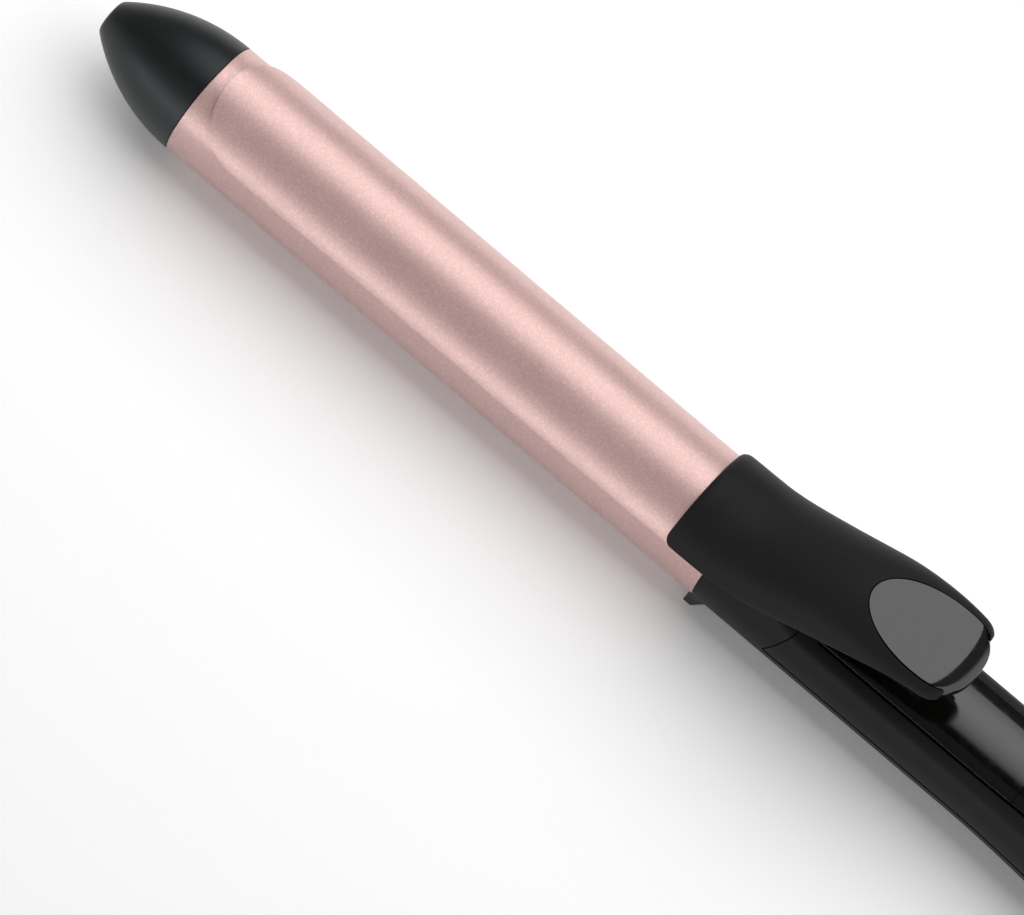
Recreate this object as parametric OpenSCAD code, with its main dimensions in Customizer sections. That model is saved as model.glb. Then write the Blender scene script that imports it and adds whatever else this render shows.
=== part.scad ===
// Curling iron with a sprung clamp, a cool tip, a handle with buttons and a
// swivelling cord outlet. Millimetres. X runs along the iron from the tip to
// the cord outlet and Z points up to the clamp's side. The iron lies on its
// rest foot and on the swell of its handle, at Z = 0.

/* [Barrel] */
// Outer diameter of the heated barrel
barrel_d = 32; // [28:1:38]
// Length of barrel that shows between the cool tip and the handle
barrel_len = 170; // [140:0.5:220]
// Wall of the barrel tube
barrel_wall = 1; // [0.8:0.1:1.5]

/* [Cool tip] */
// Length of the cool tip beyond the barrel
tip_len = 32; // [24:1:40]
// Diameter of the flat on the tip's nose
tip_nose_d = 9; // [6:0.5:14]
// Wall of the hollow tip
tip_wall = 2.2; // [1.6:0.1:3]
// Length of the tip's spigot inside the barrel
tip_spigot = 9; // [6:0.5:14]

/* [Heater] */
// Free length between the heat spreaders and the barrel mount
heater_gap = 10; // [8:0.5:40]
// Height of the flat slot between the two spreaders
heater_slot = 4.4; // [4:0.1:6]
// Wall of a spreader's extrusion
spreader_wall = 1.8; // [1.2:0.1:2.4]
// Number of ceramic heating stones
stone_count = 4; // [3:1:5]

/* [Clamp] */
// Thickness of the clamp's sheet
clamp_sheet = 0.9; // [0.6:0.1:1.2]
// Gap between the closed clamp and the barrel, filled by hair
clamp_lift = 0.5; // [0.3:0.1:0.8]
// Half of the angle that the clamp wraps round the barrel
clamp_half_angle = 62; // [54:1:66]
// Bare barrel between the cool tip and the clamp's end
clamp_setback = 3.7; // [1:0.1:12]
// Length of the clamp's rounded end
clamp_round = 14.5; // [8:0.5:22]

/* [Lever] */
// How far the lever cover reaches ahead of the handle
lever_ahead = 12; // [9:0.1:18]
// Length of the lever cover, from its front edge to its two lobes
lever_len = 77.7; // [75:0.1:84]
// Wall of the lever cover
lever_wall = 2; // [1.6:0.1:2.6]
// Half of the angle that the cover's skirt wraps
lever_half_angle = 60; // [54:1:62]
// Height that the crown gains up to the thumb pad
crown_rise = 16.1; // [15:0.1:17]
// Height that the skirt's lower edge gains up to the lobes
skirt_rise = 22; // [20:0.1:23]
// Slope of the thumb pad
thumb_slope = 1.5; // [0:0.5:3]
// Angle that the lever turns when it is pressed home
lever_open = 15; // [10:0.5:16]

/* [Thumb pad] */
// Length of the pad
pad_len = 33; // [30:0.1:38]
// Width of the pad
pad_w = 22.3; // [18:0.1:23]
// Thickness of the pad's plate
pad_t = 1.6; // [1.4:0.1:1.8]
// How far the pad's nose stands beyond the lobes
pad_overhang = 3.4; // [1.5:0.1:5]

/* [Hinge] */
// Distance of the hinge pin behind the handle's front
pivot_back = 14.5; // [12:0.1:18]
// Diameter of the hinge pin
pin_d = 3; // [2:0.1:4]
// Wire of the return spring
spring_wire = 0.9; // [0.7:0.1:1.1]
// Turns of the return spring
spring_turns = 5; // [3:1:5]

/* [Handle] */
// Length of the handle behind the barrel
handle_len = 150; // [148:1:170]
// How far the handle's surface lies inside the barrel's
handle_step = 0.1; // [0:0.1:0.5]
// How far the handle's axis lies below the barrel's
handle_drop = 0.3; // [0:0.1:0.8]
// Growth of the handle's radius in the palm
palm_swell = 2.1; // [1.8:0.1:3]
// How far the handle's top is flattened under the panels
top_flat = 3.4; // [2.6:0.1:4]
// Wall of the handle's shells
shell_wall = 2.2; // [1.8:0.1:2.6]
// Tilt of the handle's front face
front_tilt = 4.7; // [0:0.1:8]
// Gap along the seams of the casing
seam_gap = 0.3; // [0.2:0.05:0.5]
// Width of the rest foot
foot_w = 24; // [16:0.5:28]
// Length of the rest foot's sole
foot_sole = 2.3; // [1.5:0.1:5]

/* [Panels] */
// Width of the recess for the glossy panels
panel_w = 20.9; // [18:0.1:22]
// How far the panels stand above the shell's surface
panel_proud = 0.8; // [0.4:0.1:1]
// Thickness of the panels
panel_t = 1.6; // [1.2:0.1:2]
// Reach of the control panel, from its break with the top panel to the tail
control_reach = 56.2; // [54:0.1:58]

/* [Controls] */
// Diameter of the power button
power_d = 8; // [6:0.5:9]
// Diameter of the two temperature buttons
step_d = 6.8; // [5:0.2:7.6]
// Distance between the two temperature buttons
step_pitch = 16; // [15.5:0.1:18]
// Height of the buttons above the panel
button_proud = 0.6; // [0.3:0.1:1]
// Travel of the buttons
button_travel = 0.5; // [0.3:0.1:0.8]
// Number of temperature lights
light_count = 3; // [1:1:3]
// Diameter of a temperature light
light_d = 1.6; // [1.2:0.1:1.8]

/* [Cord outlet] */
// Diameter of the swivel
swivel_d = 15; // [13:0.5:17]
// Length of the swivel beyond the tail ring
swivel_out = 10; // [7:0.5:14]
// Diameter of the cord's bore
cord_bore_d = 6.2; // [5:0.1:7.5]
// Depth of the cord's bore
cord_bore_len = 12; // [8:0.5:14]

/* [Hidden] */
$fn = 72;

// Clearances
seat_gap = 0.1;      // between pieces that are fixed to each other
turn_gap = 0.05;     // radial, round a pin or journal that turns
free_gap = 0.3;      // between pieces that move past each other
over = 1;            // how far a cutter reaches past what it cuts

// Barrel
barrel_r = barrel_d / 2;
tube_in_r = barrel_r - barrel_wall;
spreader_r = tube_in_r - seat_gap;
heater_x = tip_spigot + 7;           // front end of the spreaders
plug_len = 16;                       // of the barrel mount, in the tube
mount_reach = 5;                     // of the mount, behind the seam's corner
heater_len = barrel_len - plug_len - heater_x - heater_gap;

// Handle
handle_r0 = barrel_r - handle_step;
handle_top = handle_r0 - handle_drop;
crown_arc = 24;                      // radius of the flattened top
crown_axis = crown_arc + top_flat - handle_top;  // its axis, below Z = 0
rest_h = handle_drop + handle_r0 + palm_swell;
front_x = barrel_len;
tail_x = front_x + handle_len;
tail_round = 12;                     // length of the tail's rounding
tail_face_r = 13.5;
swell_end = tail_x - tail_round - 1.5;
swell_start = swell_end - 55;
parting_z = -1.7;                    // seam of the two shells
seam_x = front_x + 22.5;              // where the seam turns up
seam_lean = 23.6;                    // lean of the seam's rising part
tilt_len = 4;                        // room for the tilted front
lip_h = 1.4;                         // lip inside the shells' seam
lip_t = 0.9;

// Panels
panel_x0 = front_x + 33;
panel_x1 = tail_x - control_reach;
control_x0 = panel_x1 + seam_gap;
control_x1 = tail_x - tail_round;
panel_gap = 0.4;                     // groove along the panels' sides
recess_in = panel_t - panel_proud;   // depth of the panels' floor
deck_t = 1.8;

// Controls: places along X
flange_w = 1;                        // flange round each button's foot
flange_t = 0.8;
minus_x = control_x0 + 6.7;
plus_x = minus_x + step_pitch;
light_x = (minus_x + plus_x) / 2;
light_pitch = 2.4;
power_x = plus_x + step_d / 2 + power_d / 2 + 2 * flange_w + 0.4;
button_gap = 0.2;

// Circuit board and what stands on it
board_t = 1.6;
board_half_w = 8;
tact_size = 5;
tact_h = 1.8;
tact_plunger_r = 1.2;
tact_plunger_h = 0.7;
board_top = deck_under(minus_x, step_d / 2 + flange_w) - 0.15 - flange_t
    - tact_h - tact_plunger_h - button_travel - 0.25;
board_z = board_top - board_t;
board_x0 = minus_x - 4.3;
board_x1 = power_x + 3.9;

// Hinge
pivot_x = front_x + pivot_back;
pivot_z = handle_top - 1.6;
pin_r = pin_d / 2;
eye_r = pin_r + 2.3;                 // bracket's ears round the pin
lug_r = pin_r + 1.6;                  // mount's lugs round the pin
lug_in = 3.3;                        // lugs of the mount, across Y
lug_out = 5.5;
ear_in = lug_out + free_gap;
bracket_t = 1.2;
ear_out = ear_in + bracket_t;
notch_half_w = ear_out + 1.6;
notch_x1 = pivot_x + 8;
spring_in_r = pin_r + 0.25;

// Clamp
clamp_in_r = barrel_r + clamp_lift;
clamp_out_r = clamp_in_r + clamp_sheet;
cover_in_r = clamp_out_r + seat_gap;
cover_r = cover_in_r + lever_wall;
saddle_x0 = front_x + 2.2;
saddle_len = 7.4;
clamp_side_z = sqrt(pow(clamp_in_r - 0.05, 2) - pow(ear_out, 2));

// Lever cover
cover_x0 = front_x - lever_ahead;
cover_x1 = cover_x0 + lever_len;
cover_corner = 2.3;                  // corner radius of the skirt
skirt_x0 = cover_x0 + 12.2;
skirt_x1 = cover_x1 - 5.3;
pad_x1 = cover_x1 + pad_overhang;
pad_x0 = pad_x1 - pad_len;
crown_x0 = cover_x0 + 9;
crown_x1 = pad_x0 + 9.2;
cover_waist = 1.1;                   // loss of half-width to the pad
cover_taper = 2.5;                   // further loss to the lobes
lobe_round = 4.4;                    // length of the lobes' rounding
lobe_inset = 2.6;                    // half-width lost in it
pad_bed = 1.2;                       // cover left under the pad
tan_thumb = tan(thumb_slope);

// Thumb pad
pad_wide_x = pad_x0 + 0.62 * pad_len;    // where the pad is widest
pad_lift = 0.2;                      // above the crown at its front end
pad_z0 = crown_z(pad_x0) + pad_lift;
pad_roll = 5.7;                      // length of the nose's roll
pad_nose_r = 7.5;
pad_nose_h = 4.4;                    // from the pad's face to its underside
pad_nose_x = pad_x1 - pad_roll;      // where the roll begins
pad_nose_z = pad_top(pad_nose_x) - pad_nose_r;
pad_under = pad_top(pad_nose_x) - pad_nose_h;
pad_block_x = pad_nose_x - 2.6;      // front of the thick nose
pad_gap = 0.15;
boss_r = 2.2;
boss_xs = [pad_x0 + 8, pad_x0 + 18];

// Cord outlet
swivel_r = swivel_d / 2;
ring_bore_r = swivel_r + turn_gap;
ring_seat_r = swivel_r + 2.4;
ring_in = 6.4;                       // ring's reach inside the tail
ring_out = 1.5;
end_wall = 4.6;
clasp_len = 2.6;                     // rebate that the ring's rim grips
clasp_r = 12.3;
stem_r = 4.6;
stem_len = 10.3;
swivel_in_x = tail_x - ring_in - free_gap;
swivel_flange_t = 2;
slip_r = stem_r + 0.8;
slip_w = 2.4;
slip_xs = [swivel_in_x - swivel_flange_t - 3.1, swivel_in_x - swivel_flange_t - 7.7];
brush_t = 0.4;

// Screws
screw_r = 1.3;
screw_head_r = 2.6;
screw_head_h = 1.4;
screw_boss_r = 3.2;
screw_len = 19;
mount_screw_len = 8.6;
mount_screw_x = front_x + 20;
screw_xs = [front_x + 44, board_x0 - 6.4];
small_screw_r = 1;
small_head_r = 2;
small_head_h = 0.9;
board_screw_x = light_x;

colour_black = [0.13, 0.13, 0.135];
colour_side = [0.17, 0.17, 0.17];
colour_shell = [0.24, 0.24, 0.24];
colour_gloss = [0.03, 0.03, 0.035];
colour_rose = [0.86, 0.70, 0.68];
colour_steel = [0.72, 0.73, 0.75];
colour_alu = [0.80, 0.81, 0.82];
colour_brass = [0.80, 0.66, 0.36];

// ---- Shaping helpers ----

function clamp01(t) = min(1, max(0, t));
function ease(t) = let (c = clamp01(t)) c * c * (3 - 2 * c);
function blend(a, b, t) = a + (b - a) * t;

// Puts the part into its own frame: centred along X, resting at Z = 0
module place() {
    translate([-(tail_x + ring_out + swivel_out - tip_len) / 2, 0, rest_h])
        children();
}

// Turns a profile of [radius, x] points about the X axis
module turned(points) {
    rotate([0, 90, 0]) rotate_extrude() polygon(points);
}

// A rod along X
module rod(r, x0, x1) {
    translate([x0, 0, 0]) rotate([0, 90, 0]) cylinder(r = r, h = x1 - x0);
}

// A pipe along X
module pipe(r_out, r_in, x0, x1) {
    difference() {
        rod(r_out, x0, x1);
        rod(r_in, x0 - over, x1 + over);
    }
}

// Gives a side outline, drawn in X and Z, a width across Y
module across(width) {
    rotate([90, 0, 0]) linear_extrude(width, center = true) children();
}

// A box from its low and high corners
module block(low, high) {
    translate(low) cube(high - low);
}

module both_sides() {
    children();
    mirror([0, 1, 0]) children();
}

// A round wire swept along a path that never runs along Y
function unit(v) = v / norm(v);
function heading(path, i) =
    unit(path[min(i + 1, len(path) - 1)] - path[max(i - 1, 0)]);
function wire_ring(path, i, r, sides) =
    let (t = heading(path, i), n = unit(cross(t, [0, 1, 0])), b = cross(t, n))
    [for (k = [0 : sides - 1])
        path[i] + r * (cos(360 * k / sides) * n + sin(360 * k / sides) * b)];
module wire(path, r, sides = 8) {
    rings = len(path);
    points = [for (i = [0 : rings - 1]) each wire_ring(path, i, r, sides)];
    walls = [for (i = [0 : rings - 2], k = [0 : sides - 1])
        let (a = i * sides + k, b = i * sides + (k + 1) % sides)
        each [[a, a + sides, b + sides], [a, b + sides, b]]];
    caps = [[for (k = [0 : sides - 1]) k],
        [for (k = [sides - 1 : -1 : 0]) (rings - 1) * sides + k]];
    polyhedron(points, concat(walls, caps));
}

// ---- Handle's outer form ----

// Radius of the handle along X, about its own axis
function swell_r(x) = handle_r0
    + palm_swell * (1 - cos(180 * clamp01((x - swell_start) / (swell_end - swell_start)))) / 2;
function handle_r(x) = x <= tail_x - tail_round ? swell_r(x)
    : let (t = clamp01((x - tail_x + tail_round) / tail_round))
      tail_face_r + (swell_r(tail_x) - tail_face_r) * sqrt(1 - t * t);
function upto(xs, x1) = concat([for (x = xs) if (x < x1 - 0.2) x], [x1]);
function swell_xs() = [for (i = [0 : 6]) swell_start + (swell_end - swell_start) * i / 6];
function stations(x1) = upto(concat(
    [front_x - tilt_len], swell_xs(),
    [for (i = [0 : 7]) tail_x - tail_round + tail_round * sin(90 * i / 7)]
), x1);

// The flattened top: a wide arc about a low axis, faded out towards the front
function crown_r(x) = crown_arc + swell_r(x) - handle_r0
    + (top_flat + 0.3) * (1 - ease((x - front_x - 8) / 22));
function crown_stations(x1) = upto(concat(
    [front_x - tilt_len], [for (i = [0 : 5]) front_x + 8 + 22 * i / 5], swell_xs()
), x1);
module crown_form(inset, x1) {
    xs = crown_stations(x1);
    translate([0, 0, -crown_axis])
        turned(concat([[0, xs[0]]], [for (x = xs) [crown_r(x) - inset, x]], [[0, x1]]));
}

// The handle's solid form, taken in by an inset and ended at x1
module handle_form(inset = 0, x1 = tail_x) {
    xs = stations(x1);
    intersection() {
        translate([0, 0, -handle_drop]) turned(concat(
            [[0, xs[0]]],
            [for (x = xs) [handle_r(x) - inset, x]],
            [[0, x1]]
        ));
        crown_form(inset, x1);
    }
}

// A box across the part of the handle that the panels cover
module panel_band(half_w, x0, x1) {
    block([x0, -half_w, 0], [x1, half_w, barrel_r * 2]);
}

// Everything behind the handle's tilted front face
module behind_front(gap = 0) {
    translate([front_x + gap, 0, 0]) rotate([0, front_tilt, 0])
        block([0, -2 * barrel_r, -2 * barrel_r], [2 * handle_len, 2 * barrel_r, 2 * barrel_r]);
}

// The upper shell's share of the casing, less a gap along its seam
module upper_share(gap = 0) {
    z0 = parting_z + gap;
    z1 = 2 * barrel_r;
    x0 = seam_x + gap / cos(seam_lean) + gap * tan(seam_lean);
    across(4 * barrel_r) polygon([
        [x0, z0], [tail_x + over, z0], [tail_x + over, z1],
        [x0 + (z1 - z0) * tan(seam_lean), z1]
    ]);
}

// ---- Lever cover's form ----

// Angle of the skirt's edge, taken back round the front corner
function skirt_angle(x) =
    let (d = clamp01((x - cover_x0) / cover_corner) * cover_corner,
         inset = cover_corner - sqrt(max(0, 2 * cover_corner * d - d * d)))
    lever_half_angle - inset / cover_r * 180 / PI;
function crown_z(x) = cover_r
    + crown_rise * ease((x - crown_x0) / (crown_x1 - crown_x0))
    + tan_thumb * max(0, x - pad_x0);
function skirt_z(x) = cover_r * cos(skirt_angle(x))
    + skirt_rise * ease((x - skirt_x0) / (skirt_x1 - skirt_x0));
function lobe_loss(x) =
    let (t = clamp01((x - cover_x1 + lobe_round) / lobe_round))
    lobe_inset * (1 - sqrt(1 - t * t));
function cover_w(x) = cover_r * sin(skirt_angle(x))
    - cover_waist * ease((x - cover_x0) / (pad_x0 - cover_x0))
    - cover_taper * pow(clamp01((x - pad_x0) / (cover_x1 - pad_x0)), 1.6)
    - lobe_loss(x);

// Share of the crown's height at a share q of the half-width: an arc of the
// barrel's circle in front, a flatter arch with rolled sides at the thumb
arch_power = 2.13;
arch_len = 32;                       // length over which the one becomes the other
function arch(x, q) =
    let (a = skirt_angle(x), b = ease((x - cover_x0) / arch_len))
    blend(
        (sqrt(1 - pow(q * sin(a), 2)) - cos(a)) / (1 - cos(a)),
        pow(max(0, 1 - pow(abs(q), arch_power)), 1 / arch_power),
        b
    );
function cover_z(x, q) = skirt_z(x) + (crown_z(x) - skirt_z(x)) * arch(x, q);

// The inner surface: the wall, thicker where it carries the pad
function cover_t(x) = blend(lever_wall, crown_z(x) - pad_top(x) + pad_t + pad_bed,
    ease((x - pad_x0 + 9) / 9));
function inner_w(x) = sqrt(pow(cover_in_r, 2) - pow(cover_r * cos(lever_half_angle), 2))
    - cover_r * sin(lever_half_angle) + cover_r * sin(skirt_angle(x))
    + cover_w(x) - cover_r * sin(skirt_angle(x));
function inner_top(x) = max(crown_z(x) - cover_t(x), skirt_z(x) + 0.1);
function inner_z(x, y) =
    skirt_z(x) + (inner_top(x) - skirt_z(x)) * arch(x, min(1, abs(y) / inner_w(x)));

// ---- Cool tip ----

// Radius of the arc that leads from the barrel's side to the tip's nose
tip_nose_r = tip_nose_d / 2;
tip_side_r = (pow(barrel_r - tip_nose_r, 2) + pow(tip_len, 2)) / (2 * (barrel_r - tip_nose_r));

// Half outline of the tip: the side's arc, cut off at the nose
module tip_outline(inset) {
    intersection() {
        translate([barrel_r - tip_side_r, 0]) circle(r = tip_side_r - inset, $fn = 200);
        square([barrel_r, tip_len - inset]);
    }
}

module cool_tip() {
    spigot_r = tube_in_r - seat_gap;
    color(colour_black) difference() {
        union() {
            rotate([0, -90, 0]) rotate_extrude() tip_outline(0);
            rod(spigot_r, 0, tip_spigot);
            // Crush ribs that grip the tube
            for (a = [0 : 60 : 300]) rotate([a, 0, 0])
                block([1, -0.5, spigot_r - 0.5], [tip_spigot - 1.5, 0.5, tube_in_r - 0.02]);
        }
        rotate([0, -90, 0]) rotate_extrude() tip_outline(tip_wall);
        rod(spigot_r - tip_wall, -over, tip_spigot + over);
    }
}

module tip_insulator() {
    color("khaki") pipe(tube_in_r - seat_gap, 2, tip_spigot + seat_gap, tip_spigot + seat_gap + 1);
}

// ---- Barrel and heater ----

module barrel_tube() {
    color(colour_rose) difference() {
        pipe(barrel_r, tube_in_r, 0, front_x + tilt_len);
        behind_front();
    }
}

// One half-moon extrusion, pressed to the tube by the stones between the two
module heat_spreader() {
    translate([heater_x, 0, 0]) rotate([90, 0, 90]) linear_extrude(heater_len) difference() {
        intersection() {
            circle(r = spreader_r);
            translate([-barrel_r, heater_slot / 2]) square([barrel_d, barrel_r]);
        }
        intersection() {
            circle(r = spreader_r - spreader_wall);
            translate([-barrel_r, heater_slot / 2 + spreader_wall]) square([barrel_d, barrel_r]);
        }
        translate([-1.2, spreader_r - spreader_wall - over]) square([2.4, spreader_wall + 2 * over]);
    }
}
module heat_spreader_upper() { color(colour_alu) heat_spreader(); }
module heat_spreader_lower() { color(colour_alu) mirror([0, 0, 1]) heat_spreader(); }

wrap_t = 0.3;
electrode_t = 0.5;
stack_half_w = 8;
stone_h = heater_slot - 2 * (wrap_t + electrode_t) - 4 * 0.05;
stone_len = (heater_len - 6) / stone_count - 1.5;
module ptc_stones() {
    color("dimgray") for (i = [0 : stone_count - 1])
        translate([heater_x + 3 + i * (stone_len + 1.5), -stack_half_w + 1, -stone_h / 2])
            cube([stone_len, 2 * stack_half_w - 2, stone_h]);
}
module electrode_strips() {
    color(colour_steel) for (side = [1, -1]) scale([1, 1, side])
        block([heater_x + 2, -stack_half_w + 0.5, stone_h / 2 + 0.05],
            [heater_x + heater_len + 4, stack_half_w - 0.5, stone_h / 2 + 0.05 + electrode_t]);
}
module heater_wrap() {
    z = heater_slot / 2 - 0.05;
    color("orange") difference() {
        block([heater_x + 1, -stack_half_w, -z], [heater_x + heater_len - 1, stack_half_w, z]);
        block([heater_x, -stack_half_w + wrap_t, -z + wrap_t],
            [heater_x + heater_len, stack_half_w - wrap_t, z - wrap_t]);
    }
}
module thermistor() {
    x1 = heater_x + heater_len;
    z = heater_slot / 2 + spreader_wall + 1.2 + seat_gap;
    color("firebrick") translate([0, 0, z]) {
        rod(0.7, x1 - 12, x1 - 1);
        translate([x1 - 12, 0, 0]) sphere(r = 1.2);
    }
}
fuse_len = 9;
fuse_r = 2;
fuse_tail = 5;                       // bare lead at each end
module thermal_fuse() {
    x1 = heater_x + heater_len - fuse_tail;
    color("silver") translate([0, 0, -heater_slot / 2 - spreader_wall - fuse_r - seat_gap]) {
        rod(fuse_r, x1 - fuse_len, x1);
        rod(fuse_r / 4, x1 - fuse_len - fuse_tail + 1, x1 + fuse_tail - 1);
    }
}

// Heat-proof block: plugs the barrel, fills the handle's front, carries the hinge
module barrel_mount() {
    body_x1 = seam_x + mount_reach;
    lead_r = 4.5;
    saddle_z = pivot_z - spring_in_r - spring_wire - seat_gap;
    color("dimgray") difference() {
        union() {
            difference() {
                rod(tube_in_r - seat_gap, front_x - plug_len, front_x + tilt_len);
                behind_front(-seat_gap);
            }
            intersection() {
                handle_form(shell_wall + seat_gap, body_x1);
                behind_front(-over);
            }
            both_sides() translate([0, (lug_in + lug_out) / 2, 0]) across(lug_out - lug_in) union() {
                translate([pivot_x, pivot_z]) circle(r = lug_r);
                translate([pivot_x - lug_r, 0]) square([2 * lug_r, pivot_z]);
            }
        }
        rod(lead_r, front_x - plug_len - over, body_x1 + over);
        // Room for the bracket's ears, and the spring's bed
        both_sides() block([pivot_x - eye_r - 2, ear_in - free_gap + 0.05, pivot_z - eye_r - free_gap],
            [notch_x1, barrel_r, barrel_d]);
        block([pivot_x - eye_r - 2, -lug_in, saddle_z], [body_x1 + over, lug_in, barrel_d]);
        translate([pivot_x, 0, pivot_z]) rotate([90, 0, 0])
            cylinder(r = pin_r + 0.02, h = barrel_d, center = true);
        // Pilot hole of the screw from below
        translate([mount_screw_x, 0, -barrel_r]) cylinder(r = screw_r + 0.02, h = barrel_r - lead_r + 0.5);
    }
}

// ---- Casing ----

module shell_wall_form() {
    difference() {
        handle_form();
        handle_form(shell_wall, tail_x - end_wall);
    }
}

// The sole and the heel under the handle's front edge
heel_slope = 58;
module rest_foot() {
    lean = tan(front_tilt);
    x_at = front_x - rest_h * lean;
    z1 = -handle_r0 / 2;
    intersection() {
        across(foot_w) polygon([
            [x_at - over, -rest_h], [x_at + foot_sole, -rest_h],
            [x_at + foot_sole + (rest_h + z1) / tan(heel_slope), z1],
            [front_x + z1 * lean - over, z1]
        ]);
        behind_front();
    }
}

module lower_shell() {
    color(colour_shell) difference() {
        union() {
            intersection() {
                shell_wall_form();
                behind_front();
            }
            difference() {
                rest_foot();
                handle_form(shell_wall, tail_x - end_wall);
            }
            shell_ribs();
            for (x = screw_xs) lower_boss(x);
        }
        upper_share();
        // Notch over the hinge
        block([front_x - tilt_len - over, -notch_half_w, 0], [notch_x1, notch_half_w, barrel_d]);
        // Screws from below
        for (x = concat([mount_screw_x], screw_xs)) screw_hole(x);
        tail_bore();
    }
    color(colour_shell) seam_lip();
}

// Lip that locates the upper shell
module seam_lip() {
    intersection() {
        difference() {
            handle_form(shell_wall - lip_t, tail_x - end_wall);
            handle_form(shell_wall, tail_x - end_wall);
        }
        block([seam_x + 8, -barrel_d, parting_z - 0.5],
            [tail_x - tail_round, barrel_d, parting_z + lip_h]);
    }
}

rib_t = 1.2;
rib_h = 1.4;
rib_xs = [for (i = [0 : 4]) front_x + 34 + 22 * i];
module shell_ribs() {
    for (x = rib_xs) if (x < tail_x - 36) intersection() {
        difference() {
            handle_form(shell_wall - 0.1, tail_x - end_wall);
            handle_form(shell_wall + rib_h, tail_x - end_wall);
        }
        block([x, -barrel_d, -barrel_d], [x + rib_t, barrel_d, parting_z - 1]);
    }
}

module lower_boss(x) {
    intersection() {
        translate([x, 0, -barrel_d]) cylinder(r = screw_boss_r, h = barrel_d + parting_z - 1.2);
        handle_form(shell_wall - 0.1, tail_x - end_wall);
    }
}
// A screw's seat is the top of the wall under a boss, and inside the wall under the mount
function screw_seat_z(x) = -handle_drop - handle_r(x) + shell_wall - (x == mount_screw_x ? 0.6 : 0);
module screw_hole(x) {
    translate([x, 0, -2 * barrel_r]) {
        cylinder(r = screw_r + 0.2, h = 2 * barrel_r);
        cylinder(r = screw_head_r + 0.2, h = 2 * barrel_r + screw_seat_z(x));
    }
}
module tail_bore() {
    translate([0, 0, -handle_drop]) {
        rod(ring_seat_r + seat_gap, tail_x - end_wall - over, tail_x + over);
        pipe(2 * barrel_r, clasp_r, tail_x - clasp_len, tail_x + over);
    }
}

module upper_shell() {
    deck_in = recess_in + deck_t;
    color(colour_side) difference() {
        union() {
            intersection() {
                union() {
                    difference() {
                        shell_wall_form();
                        seam_groove();
                    }
                    intersection() {
                        difference() {
                            handle_form(shell_wall - 0.1, tail_x - end_wall);
                            handle_form(deck_in, tail_x - end_wall);
                        }
                        panel_band(panel_w / 2 + 2, panel_x0 - 3, control_x1 + 3);
                    }
                }
                upper_share(seam_gap);
            }
            for (x = screw_xs) upper_boss(x, deck_in);
            for (side = [1, -1]) board_post(side * (board_half_w - 2.5), deck_in);
        }
        // Recess for the panels
        difference() {
            panel_band(panel_w / 2, panel_x0, control_x1);
            handle_form(recess_in);
        }
        for (x = [minus_x, plus_x]) button_hole(x, step_d);
        button_hole(power_x, power_d);
        lens_holes();
        tail_bore();
    }
}

// Groove in the upper shell that takes the lip
module seam_groove() {
    intersection() {
        difference() {
            handle_form(shell_wall - lip_t - seat_gap, tail_x - end_wall);
            handle_form(shell_wall + over, tail_x - end_wall);
        }
        block([seam_x, -barrel_d, parting_z - over],
            [tail_x - tail_round + 1, barrel_d, parting_z + lip_h + seam_gap]);
    }
}

module upper_boss(x, deck_in) {
    difference() {
        intersection() {
            translate([x, 0, parting_z - 1.1]) cylinder(r = screw_boss_r, h = barrel_d);
            handle_form(deck_in - 0.1, tail_x - end_wall);
        }
        translate([x, 0, parting_z - 2]) cylinder(r = screw_r + 0.02, h = 11);
    }
}
module board_post(y, deck_in) {
    difference() {
        intersection() {
            translate([board_screw_x, y, board_top + 0.05]) cylinder(r = 2.2, h = barrel_d);
            handle_form(deck_in - 0.1, tail_x - end_wall);
        }
        translate([board_screw_x, y, board_top - over]) cylinder(r = small_screw_r + 0.02, h = 4);
    }
}

module button_hole(x, d) {
    translate([x, 0, board_top]) cylinder(r = d / 2 + button_gap, h = barrel_d);
}
module lens_holes() {
    for (i = [0 : light_count - 1])
        translate([light_at(i), 0, board_top]) cylinder(r = light_d / 2 + 0.05, h = barrel_d);
}
function light_at(i) = light_x + (i - (light_count - 1) / 2) * light_pitch;

module panel(x0, x1) {
    intersection() {
        difference() {
            handle_form(-panel_proud);
            handle_form(recess_in - 0.02);
        }
        panel_band(panel_w / 2 - panel_gap, x0, x1);
    }
}
module top_panel() { color(colour_gloss) panel(panel_x0 + 0.15, panel_x1); }
module control_panel() {
    color(colour_gloss) difference() {
        panel(control_x0, control_x1 - 0.15);
        for (x = [minus_x, plus_x]) button_hole(x, step_d);
        button_hole(power_x, power_d);
        lens_holes();
    }
}

module casing_screw(seat_z, len) {
    translate([0, 0, seat_z]) {
        translate([0, 0, -screw_head_h]) difference() {
            cylinder(r = screw_head_r, h = screw_head_h);
            for (a = [0, 90]) rotate(a) translate([-1.6, -0.3, -over]) cube([3.2, 0.6, over + 0.8]);
        }
        cylinder(r = screw_r, h = len);
    }
}
module shell_screws() {
    color(colour_steel) {
        translate([mount_screw_x, 0, 0]) casing_screw(screw_seat_z(mount_screw_x) - 0.05, mount_screw_len);
        for (x = screw_xs) translate([x, 0, 0]) casing_screw(screw_seat_z(x) - 0.05, screw_len);
    }
}

// ---- Hinge ----

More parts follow.
